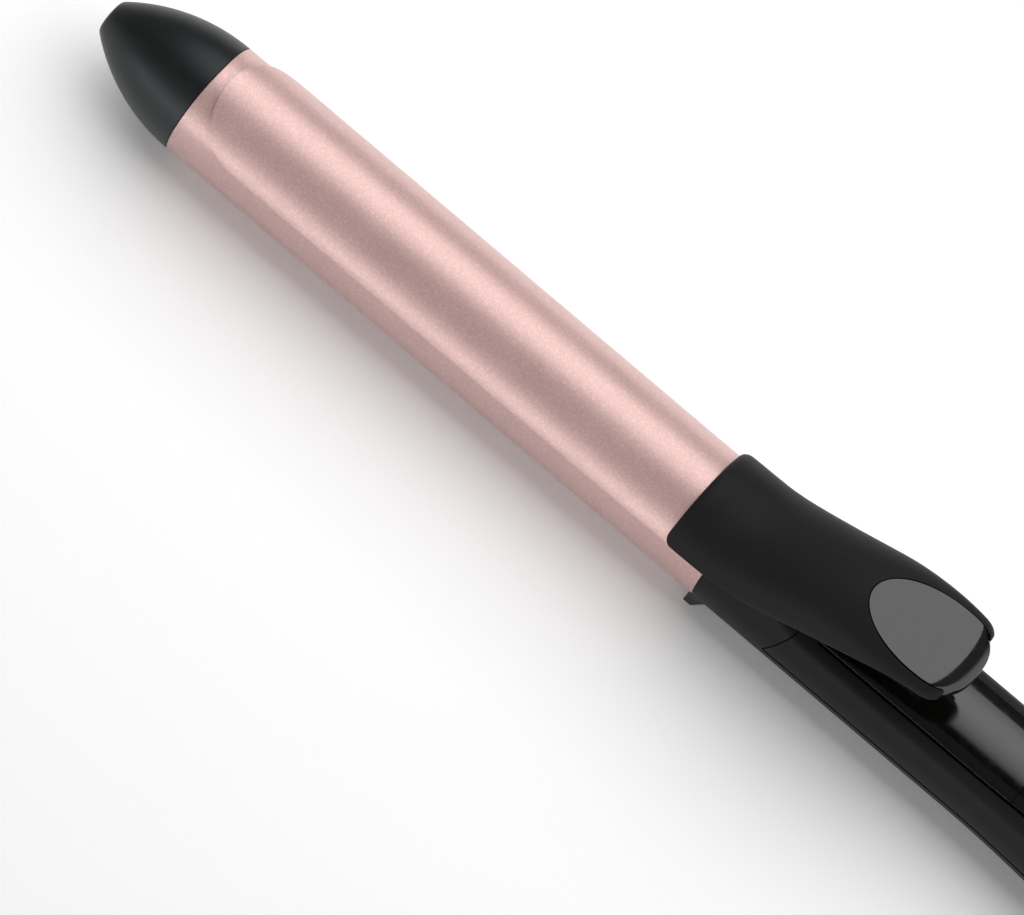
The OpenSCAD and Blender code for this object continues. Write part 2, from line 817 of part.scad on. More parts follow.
module hinge_pin() {
    color(colour_steel) translate([pivot_x, 0, pivot_z]) rotate([90, 0, 0]) {
        difference() {
            cylinder(r = pin_r, h = 2 * ear_out + 2.6, center = true);
            translate([0, 0, -ear_out - 0.8]) difference() {
                cylinder(r = pin_r + over, h = 0.5);
                translate([0, 0, -over]) cylinder(r = pin_r - 0.4, h = 3);
            }
        }
        translate([0, 0, ear_out + free_gap]) cylinder(r = pin_r + 0.9, h = 0.8);
    }
}
module pin_clip() {
    color(colour_steel) translate([pivot_x, ear_out + 0.35, pivot_z]) rotate([-90, 0, 0]) difference() {
        cylinder(r = pin_r + 1, h = 0.4);
        translate([0, 0, -over]) cylinder(r = pin_r - 0.35, h = 3);
        translate([-pin_r + 0.5, -pin_r - 3, -over]) cube([2 * pin_r - 1, pin_r + 3, 3]);
    }
}

// Coil round the pin, one leg on the mount, one under the lever's bracket
spring_r = spring_in_r + spring_wire / 2;
spring_pitch = spring_wire + 0.12;
leg_foot = 7.5;
// The upper leg ends just under the bracket's web
leg_end = [7.5, web_z(pivot_x + 7.5) - bracket_t - spring_wire / 2 - 0.05 - pivot_z];
leg_lift = atan2(leg_end[1], leg_end[0]) - asin(spring_r / norm(leg_end));
leg_reach = sqrt(pow(norm(leg_end), 2) - spring_r * spring_r);
steps_per_turn = 14;
function coil_at(turn) =
    let (a = -90 - 360 * turn)
    [pivot_x + spring_r * cos(a), (turn - (spring_turns + 1 / 2) / 2) * spring_pitch,
        pivot_z + spring_r * sin(a)];
module return_spring() {
    coil_end = spring_turns + (180 - leg_lift) / 360;
    coil_steps = ceil(coil_end * steps_per_turn);
    start = coil_at(0);
    end = coil_at(coil_end);
    path = concat(
        [start + [leg_foot, 0, 0], start + [1, 0, 0]],
        [for (i = [0 : coil_steps]) coil_at(coil_end * i / coil_steps)],
        [end + [cos(leg_lift), 0, sin(leg_lift)],
         end + leg_reach * [cos(leg_lift), 0, sin(leg_lift)]]
    );
    color(colour_steel) wire(path, spring_wire / 2);
}

// ---- Clamp and lever ----

// Plan outline of the clamp: a rounded end, straight sides, a tab at the root
module clamp_outline() {
    half_arc = clamp_out_r * clamp_half_angle * PI / 180;
    side_y = clamp_out_r + over;
    x0 = clamp_setback;
    root_x = front_x + 1.5;
    steps = 18;
    tip = [for (i = [-steps : steps])
        let (s = half_arc * sin(90 * i / steps))
        [x0 + clamp_round * (1 - cos(90 * i / steps)), clamp_out_r * sin(s / clamp_out_r * 180 / PI)]];
    edge_y = clamp_out_r * sin(clamp_half_angle);
    polygon(concat(tip, [
        [root_x, edge_y], [root_x + 3, ear_out],
        [saddle_x0 + saddle_len, ear_out], [saddle_x0 + saddle_len, -ear_out],
        [root_x + 3, -ear_out], [root_x, -edge_y]
    ]));
}
module clamp_tongue() {
    color(colour_rose) difference() {
        intersection() {
            pipe(clamp_out_r, clamp_in_r, clamp_setback - over, saddle_x0 + saddle_len);
            linear_extrude(barrel_d) clamp_outline();
        }
        rivet_holes();
    }
}

rivet_xs = [saddle_x0 + 1.7, saddle_x0 + 4.85];
rivet_r = 1.1;
module rivet_holes() {
    for (x = rivet_xs) translate([x, 0, 0]) cylinder(r = rivet_r + 0.02, h = barrel_d);
}
module clamp_rivets() {
    saddle_in = clamp_in_r - 0.05 - bracket_t;
    color(colour_steel) for (x = rivet_xs) translate([x, 0, 0]) {
        translate([0, 0, saddle_in - 0.6]) cylinder(r = rivet_r, h = clamp_out_r + 0.02 - saddle_in + 0.6);
        translate([0, 0, saddle_in - 0.7]) cylinder(r = 1.5, h = 0.6);
    }
}

// Line of the bracket's web, just under the cover
web_x0 = saddle_x0 + saddle_len - 0.8;
web_x1 = pad_block_x - 1.5;
web_steps = 14;
function web_z(x) = inner_z(x, ear_out) - 0.15;
function web_xs() = [for (i = [1 : web_steps])
    blend(pivot_x - 2.5, web_x1, (i - 1) / (web_steps - 1))];
module lever_bracket() {
    xs = web_xs();
    saddle_top = clamp_in_r - 0.05;
    riser_x = saddle_x0 + saddle_len + 0.2;
    ear_x0 = pivot_x - 0.8 * eye_r;
    ear_x1 = pivot_x + eye_r + 4;
    color(colour_steel) difference() {
        union() {
            // Curved saddle under the clamp's root
            intersection() {
                pipe(saddle_top, saddle_top - bracket_t, saddle_x0, saddle_x0 + saddle_len);
                block([saddle_x0, -ear_out, 0], [saddle_x0 + saddle_len, ear_out, barrel_d]);
            }
            // Web that carries the cover
            across(2 * ear_out) polygon(concat(
                [[web_x0, clamp_side_z - 0.1 - bracket_t], [web_x0, clamp_side_z - 0.1],
                 [riser_x, clamp_side_z - 0.1]],
                [for (x = xs) [x, web_z(x)]],
                [for (i = [web_steps - 1 : -1 : 1]) [xs[i], web_z(xs[i]) - bracket_t]],
                [[xs[0] + 1, web_z(xs[0] + 1) - bracket_t],
                 [riser_x + 0.78, clamp_side_z - 0.1 - bracket_t]]
            ));
            // Ears, folded down from the web
            both_sides() translate([0, (ear_in + ear_out) / 2, 0]) across(bracket_t) union() {
                polygon([
                    [ear_x0, pivot_z], [ear_x0, web_z(xs[0]) - bracket_t - 0.6],
                    [xs[0] + 0.5, web_z(xs[0]) - bracket_t / 2], [ear_x1, web_z(ear_x1) - bracket_t / 2],
                    [pivot_x + 0.8 * eye_r, pivot_z]
                ]);
                translate([pivot_x, pivot_z]) circle(r = eye_r);
            }
        }
        translate([pivot_x, 0, pivot_z]) rotate([90, 0, 0])
            cylinder(r = pin_r + turn_gap, h = barrel_d, center = true);
        rivet_holes();
        for (x = boss_xs) translate([x, 0, 0]) cylinder(r = small_screw_r + 0.15, h = 2 * barrel_d);
    }
}

// Cover: a shell lofted through cross-sections along X
half_steps = 13;
cover_stations = concat(
    [for (i = [0 : 3]) cover_x0 + cover_corner * (1 - cos(90 * i / 3))],
    [for (i = [1 : 20]) blend(cover_x0 + cover_corner, cover_x1 - lobe_round, i / 20)],
    [for (i = [1 : 4]) cover_x1 - lobe_round + lobe_round * sin(90 * i / 4)]
);
function cover_section(x) = concat(
    [for (k = [-half_steps : half_steps]) let (q = sin(90 * k / half_steps))
        [x, cover_w(x) * q, cover_z(x, q)]],
    [for (k = [half_steps : -1 : -half_steps]) let (q = sin(90 * k / half_steps))
        [x, inner_w(x) * q, inner_z(x, inner_w(x) * q)]]
);
module cover_loft() {
    ring = 4 * half_steps + 2;
    last = (len(cover_stations) - 1) * ring;
    points = [for (x = cover_stations) each cover_section(x)];
    walls = [for (i = [0 : len(cover_stations) - 2], k = [0 : ring - 1])
        let (a = i * ring + k, b = i * ring + (k + 1) % ring)
        each [[a, b, b + ring], [a, b + ring, a + ring]]];
    caps = [for (k = [0 : 2 * half_steps - 1])
        each [
            [k, ring - 1 - k, ring - 2 - k], [k, ring - 2 - k, k + 1],
            [last + k, last + ring - 2 - k, last + ring - 1 - k],
            [last + k, last + k + 1, last + ring - 2 - k]
        ]];
    polyhedron(points, concat(walls, caps));
}

// Plan outline of the thumb pad, grown by a gap: a long half-ellipse in front,
// a short blunt one behind
nose_power = 2.7;
module pad_outline(gap) {
    b = pad_w / 2 + gap;
    steps = 28;
    translate([pad_wide_x, 0]) polygon([for (i = [0 : 2 * steps - 1])
        let (t = 180 * i / steps, c = cos(t), s = sin(t), p = c < 0 ? 2 : nose_power,
             a = gap + (c < 0 ? pad_wide_x - pad_x0 : pad_x1 - pad_wide_x))
        [a * sign(c) * pow(abs(c), 2 / p), b * sign(s) * pow(abs(s), 2 / p)]]);
}
function pad_top(x) = pad_z0 + tan_thumb * (x - pad_x0);

module lever_cover() {
    color(colour_black) difference() {
        cover_loft();
        // Pocket for the pad's plate, and the notch for its nose
        intersection() {
            linear_extrude(3 * barrel_d) pad_outline(pad_gap);
            across(barrel_d) polygon([
                [pad_x0 - over, pad_top(pad_x0 - over) - pad_t - seat_gap],
                [pad_block_x - pad_gap, pad_top(pad_block_x - pad_gap) - pad_t - seat_gap],
                [pad_block_x - pad_gap, 0], [pad_x1 + over, 0],
                [pad_x1 + over, 3 * barrel_d], [pad_x0 - over, 3 * barrel_d]
            ]);
        }
        for (x = boss_xs) translate([x, 0, 0]) cylinder(r = boss_r + seat_gap, h = 2 * barrel_d);
    }
}

module thumb_pad() {
    color(colour_gloss) difference() {
        union() {
            intersection() {
                linear_extrude(3 * barrel_d) pad_outline(0);
                across(barrel_d) union() {
                    polygon([
                        [pad_x0 - over, pad_top(pad_x0 - over) - pad_t],
                        [pad_block_x, pad_top(pad_block_x) - pad_t],
                        [pad_block_x, pad_under], [pad_nose_x, pad_under],
                        [pad_nose_x, pad_top(pad_nose_x)], [pad_x0 - over, pad_top(pad_x0 - over)]
                    ]);
                    intersection() {
                        translate([pad_nose_x, pad_nose_z]) circle(r = pad_nose_r, $fn = 96);
                        translate([pad_nose_x - 0.01, pad_under]) square([pad_roll + over, pad_nose_r * 2]);
                    }
                }
            }
            for (x = boss_xs) translate([x, 0, web_z(x) + 0.25])
                cylinder(r = boss_r, h = pad_top(x) - pad_t / 2 - web_z(x) - 0.25);
        }
        for (x = boss_xs) translate([x, 0, 0])
            cylinder(r = small_screw_r + 0.02, h = pad_top(x) - 0.8);
    }
}

module lever_screws() {
    color(colour_steel) for (x = boss_xs) {
        z = web_z(x) - bracket_t - 0.2;
        translate([x, 0, z - small_head_h]) cylinder(r = small_head_r, h = small_head_h);
        translate([x, 0, z]) cylinder(r = small_screw_r, h = pad_top(x) - 1.1 - z);
    }
}

// ---- Electronics ----

module circuit_board() {
    color("seagreen") difference() {
        block([board_x0, -board_half_w, board_z], [board_x1, board_half_w, board_top]);
        for (side = [1, -1]) translate([board_screw_x, side * (board_half_w - 2.5), 0])
            cylinder(r = small_screw_r + 0.15, h = barrel_d);
    }
}
module board_screws() {
    color(colour_steel) for (side = [1, -1])
        translate([board_screw_x, side * (board_half_w - 2.5), board_z - small_head_h - 0.02]) {
            cylinder(r = small_head_r, h = small_head_h);
            cylinder(r = small_screw_r, h = small_head_h + board_t + 2.6);
        }
}
module tact_switches() {
    color("silver") for (x = [minus_x, plus_x, power_x]) translate([x, 0, board_top + 0.02]) {
        translate([-tact_size / 2, -tact_size / 2, 0]) cube([tact_size, tact_size, tact_h]);
        cylinder(r = tact_plunger_r, h = tact_h + tact_plunger_h);
    }
}
module indicator_leds() {
    color("white") for (i = [0 : light_count - 1])
        translate([light_at(i) - 0.8, -0.6, board_top + 0.02]) cube([1.6, 1.2, 0.8]);
}
module indicator_lenses() {
    color("mintcream") intersection() {
        for (i = [0 : light_count - 1])
            translate([light_at(i), 0, board_top + 1.1]) cylinder(r = light_d / 2, h = barrel_d);
        handle_form(-panel_proud - 0.05);
    }
}
module triac() {
    color("black") block([board_x0 + 1, -5, board_z - 4.5], [board_x0 + 8.5, 5, board_z - 0.05]);
}
module capacitor() {
    color("navy") translate([0, 0, board_z - 4.1])
        rod(4, board_x0 + 17.5, board_x0 + 31.5);
}

// Leads: pairs of round wires
lead_wire_r = 0.7;
module lead_pair(path) {
    for (side = [1, -1]) wire([for (p = path) [p[0], side * p[1], p[2]]], lead_wire_r);
}
module heater_leads() {
    x0 = heater_x + heater_len + 4.2;
    color("white") lead_pair([
        [x0, 3, 0], [front_x - plug_len, 2.4, 0], [seam_x + 6, 2.4, -0.5], [seam_x + 14, 4.8, -1],
        [screw_xs[0], 5.4, -1], [screw_xs[0] + 12, 5.4, -1], [screw_xs[1], 5.6, -1],
        [board_x0, 6.2, board_z - 1.6], [board_x0 + 5, 6.2, board_z - 0.8]
    ]);
}
module supply_leads() {
    x0 = brush_x0 - 0.1;
    color("dimgray") lead_pair([
        [x0, 7.2, brush_z + 0.3], [x0 - 5, 7, brush_z + 1], [x0 - 11, 6.5, -1.5],
        [x0 - 15, 6.3, board_z - 1.8], [x0 - 19, 6.3, board_z - 0.8]
    ]);
}

// ---- Buttons ----

function deck_under(x, y) =
    -crown_axis + sqrt(pow(crown_r(x) - recess_in - deck_t, 2) - y * y);
module push_button(x, d) {
    r = d / 2;
    top_z = crown_r(x) - crown_axis + panel_proud + button_proud;
    flange_z = deck_under(x, r + flange_w) - 0.15 - flange_t;
    foot_z = board_top + 0.02 + tact_h + tact_plunger_h + button_travel + 0.1;
    translate([x, 0, 0]) {
        translate([0, 0, flange_z]) rotate_extrude() polygon([
            [0, 0], [r, 0], [r, top_z - flange_z - 0.5], [r - 0.5, top_z - flange_z],
            [0, top_z - flange_z]
        ]);
        translate([0, 0, flange_z]) cylinder(r = r + flange_w, h = flange_t);
        translate([0, 0, foot_z]) cylinder(r = 1.5, h = max(flange_z, foot_z + 0.2) - foot_z + 0.2);
    }
}
module power_button() {
    color(colour_gloss) push_button(power_x, power_d);
}
module plus_button() {
    color(colour_gloss) push_button(plus_x, step_d);
}
module minus_button() {
    color(colour_gloss) push_button(minus_x, step_d);
}

// ---- Cord outlet ----

module tail_ring() {
    rim_r = clasp_r + 0.02;
    rim_x = tail_x - clasp_len + seat_gap;
    color(colour_black) intersection() {
        translate([0, 0, -handle_drop]) turned(concat(
            [[ring_bore_r, tail_x - ring_in], [ring_seat_r, tail_x - ring_in],
             [ring_seat_r, tail_x + 0.02], [rim_r, tail_x + 0.02], [rim_r, rim_x]],
            [for (i = [0 : 4]) let (x = blend(rim_x, tail_x, i / 4)) [handle_r(x), x]],
            [[tail_face_r, tail_x + 0.5], [tail_face_r - 1, tail_x + ring_out],
             [ring_bore_r, tail_x + ring_out]]
        ));
        crown_form(0, tail_x + ring_out + over);
    }
}
module cord_swivel() {
    x_out = tail_x + ring_out + swivel_out;
    x_stem = swivel_in_x - swivel_flange_t;
    bore_r = cord_bore_d / 2;
    color(colour_black) translate([0, 0, -handle_drop]) difference() {
        turned(concat(
            [[0, x_stem - stem_len], [stem_r, x_stem - stem_len], [stem_r, x_stem],
             [swivel_r + 1.4, x_stem], [swivel_r + 1.4, swivel_in_x], [swivel_r, swivel_in_x],
             [swivel_r, tail_x + ring_out + 1]],
            [for (i = [1 : 6]) let (t = i / 6)
                [swivel_r - (swivel_r - bore_r - 1.8) * (1 - cos(90 * t)),
                 tail_x + ring_out + 1 + (swivel_out - 1) * sin(90 * t)]],
            [[0, x_out]]
        ));
        rod(bore_r, x_out - cord_bore_len, x_out + over);
        rod(1.8, x_stem - stem_len - over, x_out);
    }
}
module slip_rings() {
    color(colour_brass) translate([0, 0, -handle_drop])
        for (x = slip_xs) pipe(slip_r, stem_r + 0.02, x - slip_w / 2, x + slip_w / 2);
}

// Brushes lie under the slip rings, held by a block in the lower shell
brush_z = -handle_drop - slip_r - free_gap - brush_t;
module contact_brushes() {
    color(colour_brass) for (x = slip_xs)
        block([x - 0.9, -8.5, brush_z], [x + 0.9, 8.5, brush_z + brush_t]);
}
brush_x0 = min(slip_xs) - 2.8;
module brush_block() {
    x1 = max(slip_xs) + 2.6;
    color("tan") difference() {
        intersection() {
            block([brush_x0, -8.5, -barrel_d], [x1, 8.5, brush_z + 1.4]);
            handle_form(shell_wall + 0.05, tail_x - end_wall);
        }
        block([brush_x0 - over, -6.4, brush_z - 2.4], [x1 + over, 6.4, barrel_d]);
        for (x = slip_xs) block([x - 0.95, -barrel_d, brush_z - 0.02], [x + 0.95, barrel_d, brush_z + brush_t + 0.02]);
    }
}

place() cool_tip();
place() tip_insulator();
place() barrel_tube();
place() heat_spreader_upper();
place() heat_spreader_lower();
place() ptc_stones();
place() electrode_strips();
place() heater_wrap();
place() thermistor();
place() thermal_fuse();
place() barrel_mount();
place() lower_shell();
place() upper_shell();
place() top_panel();
place() control_panel();
place() shell_screws();
place() hinge_pin();
place() pin_clip();
place() return_spring();
place() circuit_board();
place() tact_switches();
place() indicator_leds();
place() indicator_lenses();
place() triac();
place() capacitor();
place() board_screws();
place() heater_leads();
place() supply_leads();
place() brush_block();
place() contact_brushes();
place() tail_ring();
place() clamp_tongue();
place() lever_bracket();
place() clamp_rivets();
place() lever_cover();
place() thumb_pad();
place() lever_screws();
place() power_button();
place() plus_button();
place() minus_button();
place() cord_swivel();
place() slip_rings();
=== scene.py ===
import math

import bmesh
import bpy
from mathutils import Matrix, Vector


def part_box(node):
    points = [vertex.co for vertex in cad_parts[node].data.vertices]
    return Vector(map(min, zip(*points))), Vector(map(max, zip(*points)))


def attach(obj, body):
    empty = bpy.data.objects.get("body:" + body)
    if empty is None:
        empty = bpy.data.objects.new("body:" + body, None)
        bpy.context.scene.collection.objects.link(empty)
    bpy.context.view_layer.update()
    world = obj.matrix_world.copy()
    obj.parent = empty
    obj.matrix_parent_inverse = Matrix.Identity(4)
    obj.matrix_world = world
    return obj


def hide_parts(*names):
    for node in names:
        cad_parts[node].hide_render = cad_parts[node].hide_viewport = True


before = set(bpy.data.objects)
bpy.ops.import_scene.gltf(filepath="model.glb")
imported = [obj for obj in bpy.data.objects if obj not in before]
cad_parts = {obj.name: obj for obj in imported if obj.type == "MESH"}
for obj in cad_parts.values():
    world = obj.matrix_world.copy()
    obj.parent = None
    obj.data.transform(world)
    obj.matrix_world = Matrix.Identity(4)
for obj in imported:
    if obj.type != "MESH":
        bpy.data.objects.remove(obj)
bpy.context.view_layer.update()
print("frame loaded with", len(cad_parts), "nodes")

# The pieces are drawn in millimetres from the middle of the seam between cap and barrel:
# x runs to the handle, z up to the lever. toFrame puts them where the frame has them.
barrelLow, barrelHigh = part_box("barrel_tube")
seamPoint = Vector((barrelLow.x, 0, (barrelLow.z + barrelHigh.z) / 2))
toFrame = Matrix.Translation(seamPoint) @ Matrix.Scale(0.001, 4)
barrelRadius = (barrelHigh.z - barrelLow.z) * 500
floorZ = -seamPoint.z * 1000
weld = 0.0005                               # points closer than this are one


def placeOf(node):
    # Low and high corners of a node, in the drawing's millimetres
    low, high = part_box(node)
    return (low - seamPoint) * 1000, (high - seamPoint) * 1000


def clamped(t):
    return max(0.0, min(1.0, t))


def along(x, start, end):
    # Share of the way from start to end
    return clamped((x - start) / (end - start))


def ease(t):
    t = clamped(t)
    return t * t * (3 - 2 * t)


def between(a, b, t):
    return a + (b - a) * t


def grey(level):
    return level, level, level


def linked(name, data):
    thing = bpy.data.objects.new(name, data)
    bpy.context.scene.collection.objects.link(thing)
    return thing


def meshFrom(name, bm):
    mesh = bpy.data.meshes.new(name)
    bm.to_mesh(mesh)
    bm.free()
    return mesh


# Shader nodes

def emptyTree(owner):
    owner.use_nodes = True
    owner.node_tree.nodes.clear()
    return owner.node_tree


def feed(tree, node, inputs):
    # Links an input to another node's output, or gives it a fixed value
    for key, value in inputs.items():
        if isinstance(value, bpy.types.NodeSocket):
            tree.links.new(value, node.inputs[key])
        else:
            node.inputs[key].default_value = value


def addNode(tree, kind, inputs=None, operation=None):
    # Adds a node and hands back its outputs
    node = tree.nodes.new("ShaderNode" + kind)
    if operation:
        node.operation = operation
    feed(tree, node, inputs or {})
    return node.outputs


def objectPlace(tree):
    return addNode(tree, "TexCoord")["Object"]


def spread(tree, value, low, high, fromLow=0.3, fromHigh=0.7):
    # Stretches a value from one range to another
    return addNode(tree, "MapRange", {"Value": value, "From Min": fromLow, "From Max": fromHigh,
                                      "To Min": low, "To Max": high})["Result"]


def mixed(tree, factor, first, second):
    # Mixes two colours, each three numbers or another node's output
    mix = tree.nodes.new("ShaderNodeMix")
    mix.data_type = "RGBA"
    first, second = ((*c, 1) if isinstance(c, tuple) else c for c in (first, second))
    feed(tree, mix, {"Factor": factor, "A": first, "B": second})
    return mix.outputs["Result"]


def greyRamp(tree, value, low, high, stops):
    # Greys for a value that runs from low to high. A stop is (share of the way, grey)
    ramp = tree.nodes.new("ShaderNodeValToRGB")
    elements = ramp.color_ramp.elements
    while len(elements) < len(stops):
        elements.new(0.5)
    for element, (position, level) in zip(elements, stops):
        element.position = clamped(position)
        element.color = (*grey(level), 1)
    feed(tree, ramp, {"Fac": spread(tree, value, 0, 1, low, high)})
    return ramp.outputs["Color"]


# Stage: camera, floor and lamps

cameraLook = {
    "towards": (0.1115, -0.4042, 0.9079),   # direction from the iron to the camera
    "aim": (114.93, -17.41, -7.75),         # drawing millimetres
    "distance": 3.0,
    "roll": 40.316,
    "lens": 429.9,
}
stage = {
    "floorSize": 2.4,
    "floorColour": grey(0.90),
    "floorGlow": 0.15,
    "floorGloss": 0.12,
    "fill": 0.20,
    # Lamps hang along the iron. Angles are degrees from straight up, + on the far side; lengths
    # run along x in metres from the seam, and levels are radiances
    "overhead": {"span": (-8, 60), "distance": 0.75, "along": (-1.05, 1.35), "level": 1.74},
    "mirror": {"span": (-10, 55), "distance": 0.74, "along": (-0.35, 0.262), "level": 2.1,
               "shades": [(-10, 0), (-2, 0.02), (3, 0.42), (9, 0.66), (19, 0.88), (29, 1.0),
                          (41, 0.95), (55, 0.6)]},
    "side": {"span": (-97, -54), "distance": 0.9, "along": (-1.05, 1.35), "level": 3.15,
             "shades": [(-97, 0.95), (-88, 1.0), (-80, 0.85), (-70, 0.5), (-60, 0.3), (-54, 0.12)]},
    # What gloss sees of the studio between the lamps: (angle, grey)
    "studio": [(-180, 0.45), (-110, 0.6), (-90, 0.7), (-54, 0.30), (-40, 0.36), (-30, 0.22), (-22, 0.08),
               (20, 0.16), (58, 0.12), (66, 0.06), (78, 0.10), (86, 0.22), (93, 0.36), (180, 0.36)],
    # Past the handle's end the studio is pale well above the horizon: level, and the directions
    "horizon": 1.2, "horizonX": (0.64, 0.76), "horizonZ": (0.80, 0.70),
}


def addCamera(look):
    toCamera = Vector(look["towards"]).normalized()
    alongX = (Vector((1, 0, 0)) - toCamera * toCamera.x).normalized()
    alongY = toCamera.cross(alongX)
    roll = -math.radians(look["roll"])
    right = alongX * math.cos(roll) - alongY * math.sin(roll)
    up = alongX * math.sin(roll) + alongY * math.cos(roll)
    data = bpy.data.cameras.new("mainCamera")
    data.lens = look["lens"]
    data.sensor_width = 36
    data.clip_start = 0.05
    data.clip_end = 20
    camera = linked("mainCamera", data)
    turn = Matrix((right, up, toCamera)).transposed().to_4x4()
    spot = toFrame @ Vector(look["aim"]) + toCamera * look["distance"]
    camera.matrix_world = Matrix.Translation(spot) @ turn
    bpy.context.scene.camera = camera


def addFloor(settings):
    bm = bmesh.new()
    bmesh.ops.create_grid(bm, x_segments=1, y_segments=1, size=settings["floorSize"])
    floor = linked("floor", meshFrom("floor", bm))
    paper = bpy.data.materials.new("palePaper")
    tree = emptyTree(paper)
    rays = addNode(tree, "LightPath")
    shine = addNode(tree, "Math", {0: rays["Is Glossy Ray"], 1: settings["floorGloss"]}, "MULTIPLY")[0]
    level = addNode(tree, "Math", {0: rays["Is Camera Ray"], 1: settings["floorGlow"], 2: shine},
                    "MULTIPLY_ADD")[0]
    sheet = addNode(tree, "BsdfDiffuse", {"Color": (*settings["floorColour"], 1)})[0]
    glow = addNode(tree, "Emission", {"Strength": level})[0]
    both = addNode(tree, "AddShader", {0: sheet, 1: glow})[0]
    addNode(tree, "OutputMaterial", {"Surface": both})
    floor.data.materials.append(paper)


def panelPlace(box):
    # Size and place of a flat panel along the iron that fills a span of angles over it
    first, last = box["span"]
    start, end = box["along"]
    middle, half = math.radians((first + last) / 2), math.radians((last - first) / 2)
    away = Vector((0, math.sin(middle), math.cos(middle)))
    across = away.cross(Vector((1, 0, 0)))
    turn = Matrix((Vector((1, 0, 0)), across, away)).transposed().to_4x4()
    spot = seamPoint + Vector(((start + end) / 2, 0, 0)) + away * box["distance"]
    return end - start, 2 * box["distance"] * math.tan(half), Matrix.Translation(spot) @ turn, middle, half


def addSoftbox(name, box):
    # Lights the iron and the floor, and isn't seen in any gloss
    data = bpy.data.lights.new(name, "AREA")
    data.shape = "RECTANGLE"
    data.size, data.size_y, where = panelPlace(box)[:3]
    data.energy = box["level"] * math.pi * data.size * data.size_y
    lamp = linked(name, data)
    lamp.matrix_world = where
    lamp.visible_camera = False
    lamp.visible_glossy = False


def addReflector(name, box):
    # A glowing sheet that only gloss sees, dimmer towards its edges
    length, height, where, middle, half = panelPlace(box)
    bm = bmesh.new()
    bmesh.ops.create_grid(bm, x_segments=1, y_segments=1, size=0.5)
    bmesh.ops.scale(bm, verts=bm.verts, vec=(length, height, 1))
    sheet = linked(name, meshFrom(name, bm))
    sheet.matrix_world = where
    cloth = bpy.data.materials.new(name + "Cloth")
    tree = emptyTree(cloth)
    across = addNode(tree, "SeparateXYZ", {0: objectPlace(tree)})["Y"]
    stops = [((math.tan(math.radians(degrees) - middle) / math.tan(half) + 1) / 2, level)
             for degrees, level in box["shades"]]
    shade = greyRamp(tree, across, -height / 2, height / 2, stops)
    glow = addNode(tree, "Emission", {"Color": shade, "Strength": box["level"]})[0]
    addNode(tree, "OutputMaterial", {"Surface": glow})
    sheet.data.materials.append(cloth)
    for seenBy in ("camera", "diffuse", "transmission", "volume_scatter", "shadow"):
        setattr(sheet, "visible_" + seenBy, False)


def lightWorld(settings):
    world = bpy.data.worlds.new("paleStudio")
    bpy.context.scene.world = world
    tree = emptyTree(world)
    rays = addNode(tree, "LightPath")
    seen = addNode(tree, "Math", {0: rays["Is Camera Ray"], 1: rays["Is Transmission Ray"]}, "MAXIMUM")[0]
    # The studio round the iron, seen by its gloss: pale to the sides, dim overhead
    towards = addNode(tree, "SeparateXYZ", {0: addNode(tree, "TexCoord")["Generated"]})
    angle = addNode(tree, "Math", {0: towards["Y"], 1: towards["Z"]}, "ARCTAN2")[0]
    stops = [((degrees + 180) / 360, level) for degrees, level in settings["studio"]]
    colour = greyRamp(tree, angle, -math.pi, math.pi, stops)
    endward = spread(tree, towards["X"], 0, 1, *settings["horizonX"])
    low = spread(tree, towards["Z"], 0, 1, *settings["horizonZ"])
    horizon = addNode(tree, "Math", {0: endward, 1: low}, "MULTIPLY")[0]
    colour = mixed(tree, horizon, colour, grey(settings["horizon"]))
    colour = mixed(tree, rays["Is Glossy Ray"], grey(settings["fill"]), colour)
    colour = mixed(tree, seen, colour, grey(1))
    back = addNode(tree, "Background", {"Color": colour})[0]
    addNode(tree, "OutputWorld", {"Surface": back})


addCamera(cameraLook)
addFloor(stage)
addSoftbox("overheadSoftbox", stage["overhead"])
addReflector("mirrorSheet", stage["mirror"])
addReflector("sideSheet", stage["side"])
lightWorld(stage)
bpy.context.scene.view_settings.view_transform = "Standard"
print("camera, floor and lamps placed")


# Finishes

def emptyFinish(name):
    material = bpy.data.materials.new(name)
    material.use_nodes = True
    return material, material.node_tree, material.node_tree.nodes["Principled BSDF"]


def noise(tree, place, size, detail, rough):
    # Noise with features about size millimetres across
    return addNode(tree, "TexNoise", {"Vector": place, "Scale": 1000 / size, "Detail": detail,
                                      "Roughness": rough})["Fac"]


def clouds(tree, place, size):
    return noise(tree, place, size, 3, 0.5)


def grained(name, dark, light, roughness, size, detail, depth, stretch=(1, 1, 1), cloudSize=None):
    # One grain leads gloss and relief, and the colour too unless it has broader clouds.
    # Roughness is a range, and depth is the relief in millimetres
    material, tree, shader = emptyFinish(name)
    place = addNode(tree, "Mapping", {"Vector": objectPlace(tree), "Scale": stretch})[0]
    grain = noise(tree, place, size, detail, 0.6)
    tone = clouds(tree, place, cloudSize) if cloudSize else grain
    relief = addNode(tree, "Bump", {"Strength": 1, "Distance": depth / 1000, "Height": grain})["Normal"]
    feed(tree, shader, {"Base Color": mixed(tree, tone, dark, light),
                        "Roughness": spread(tree, grain, *roughness), "Normal": relief})
    return material, shader


def mouldedPlastic(name, dark, light, roughness, grain, depth, specular):
    # Spark-eroded mould texture over a faint cloudiness of the plastic
    material, shader = grained(name, dark, light, (roughness - 0.05, roughness + 0.07), grain, 3, depth,
                               cloudSize=9)
    shader.inputs["Specular IOR Level"].default_value = specular
    return material


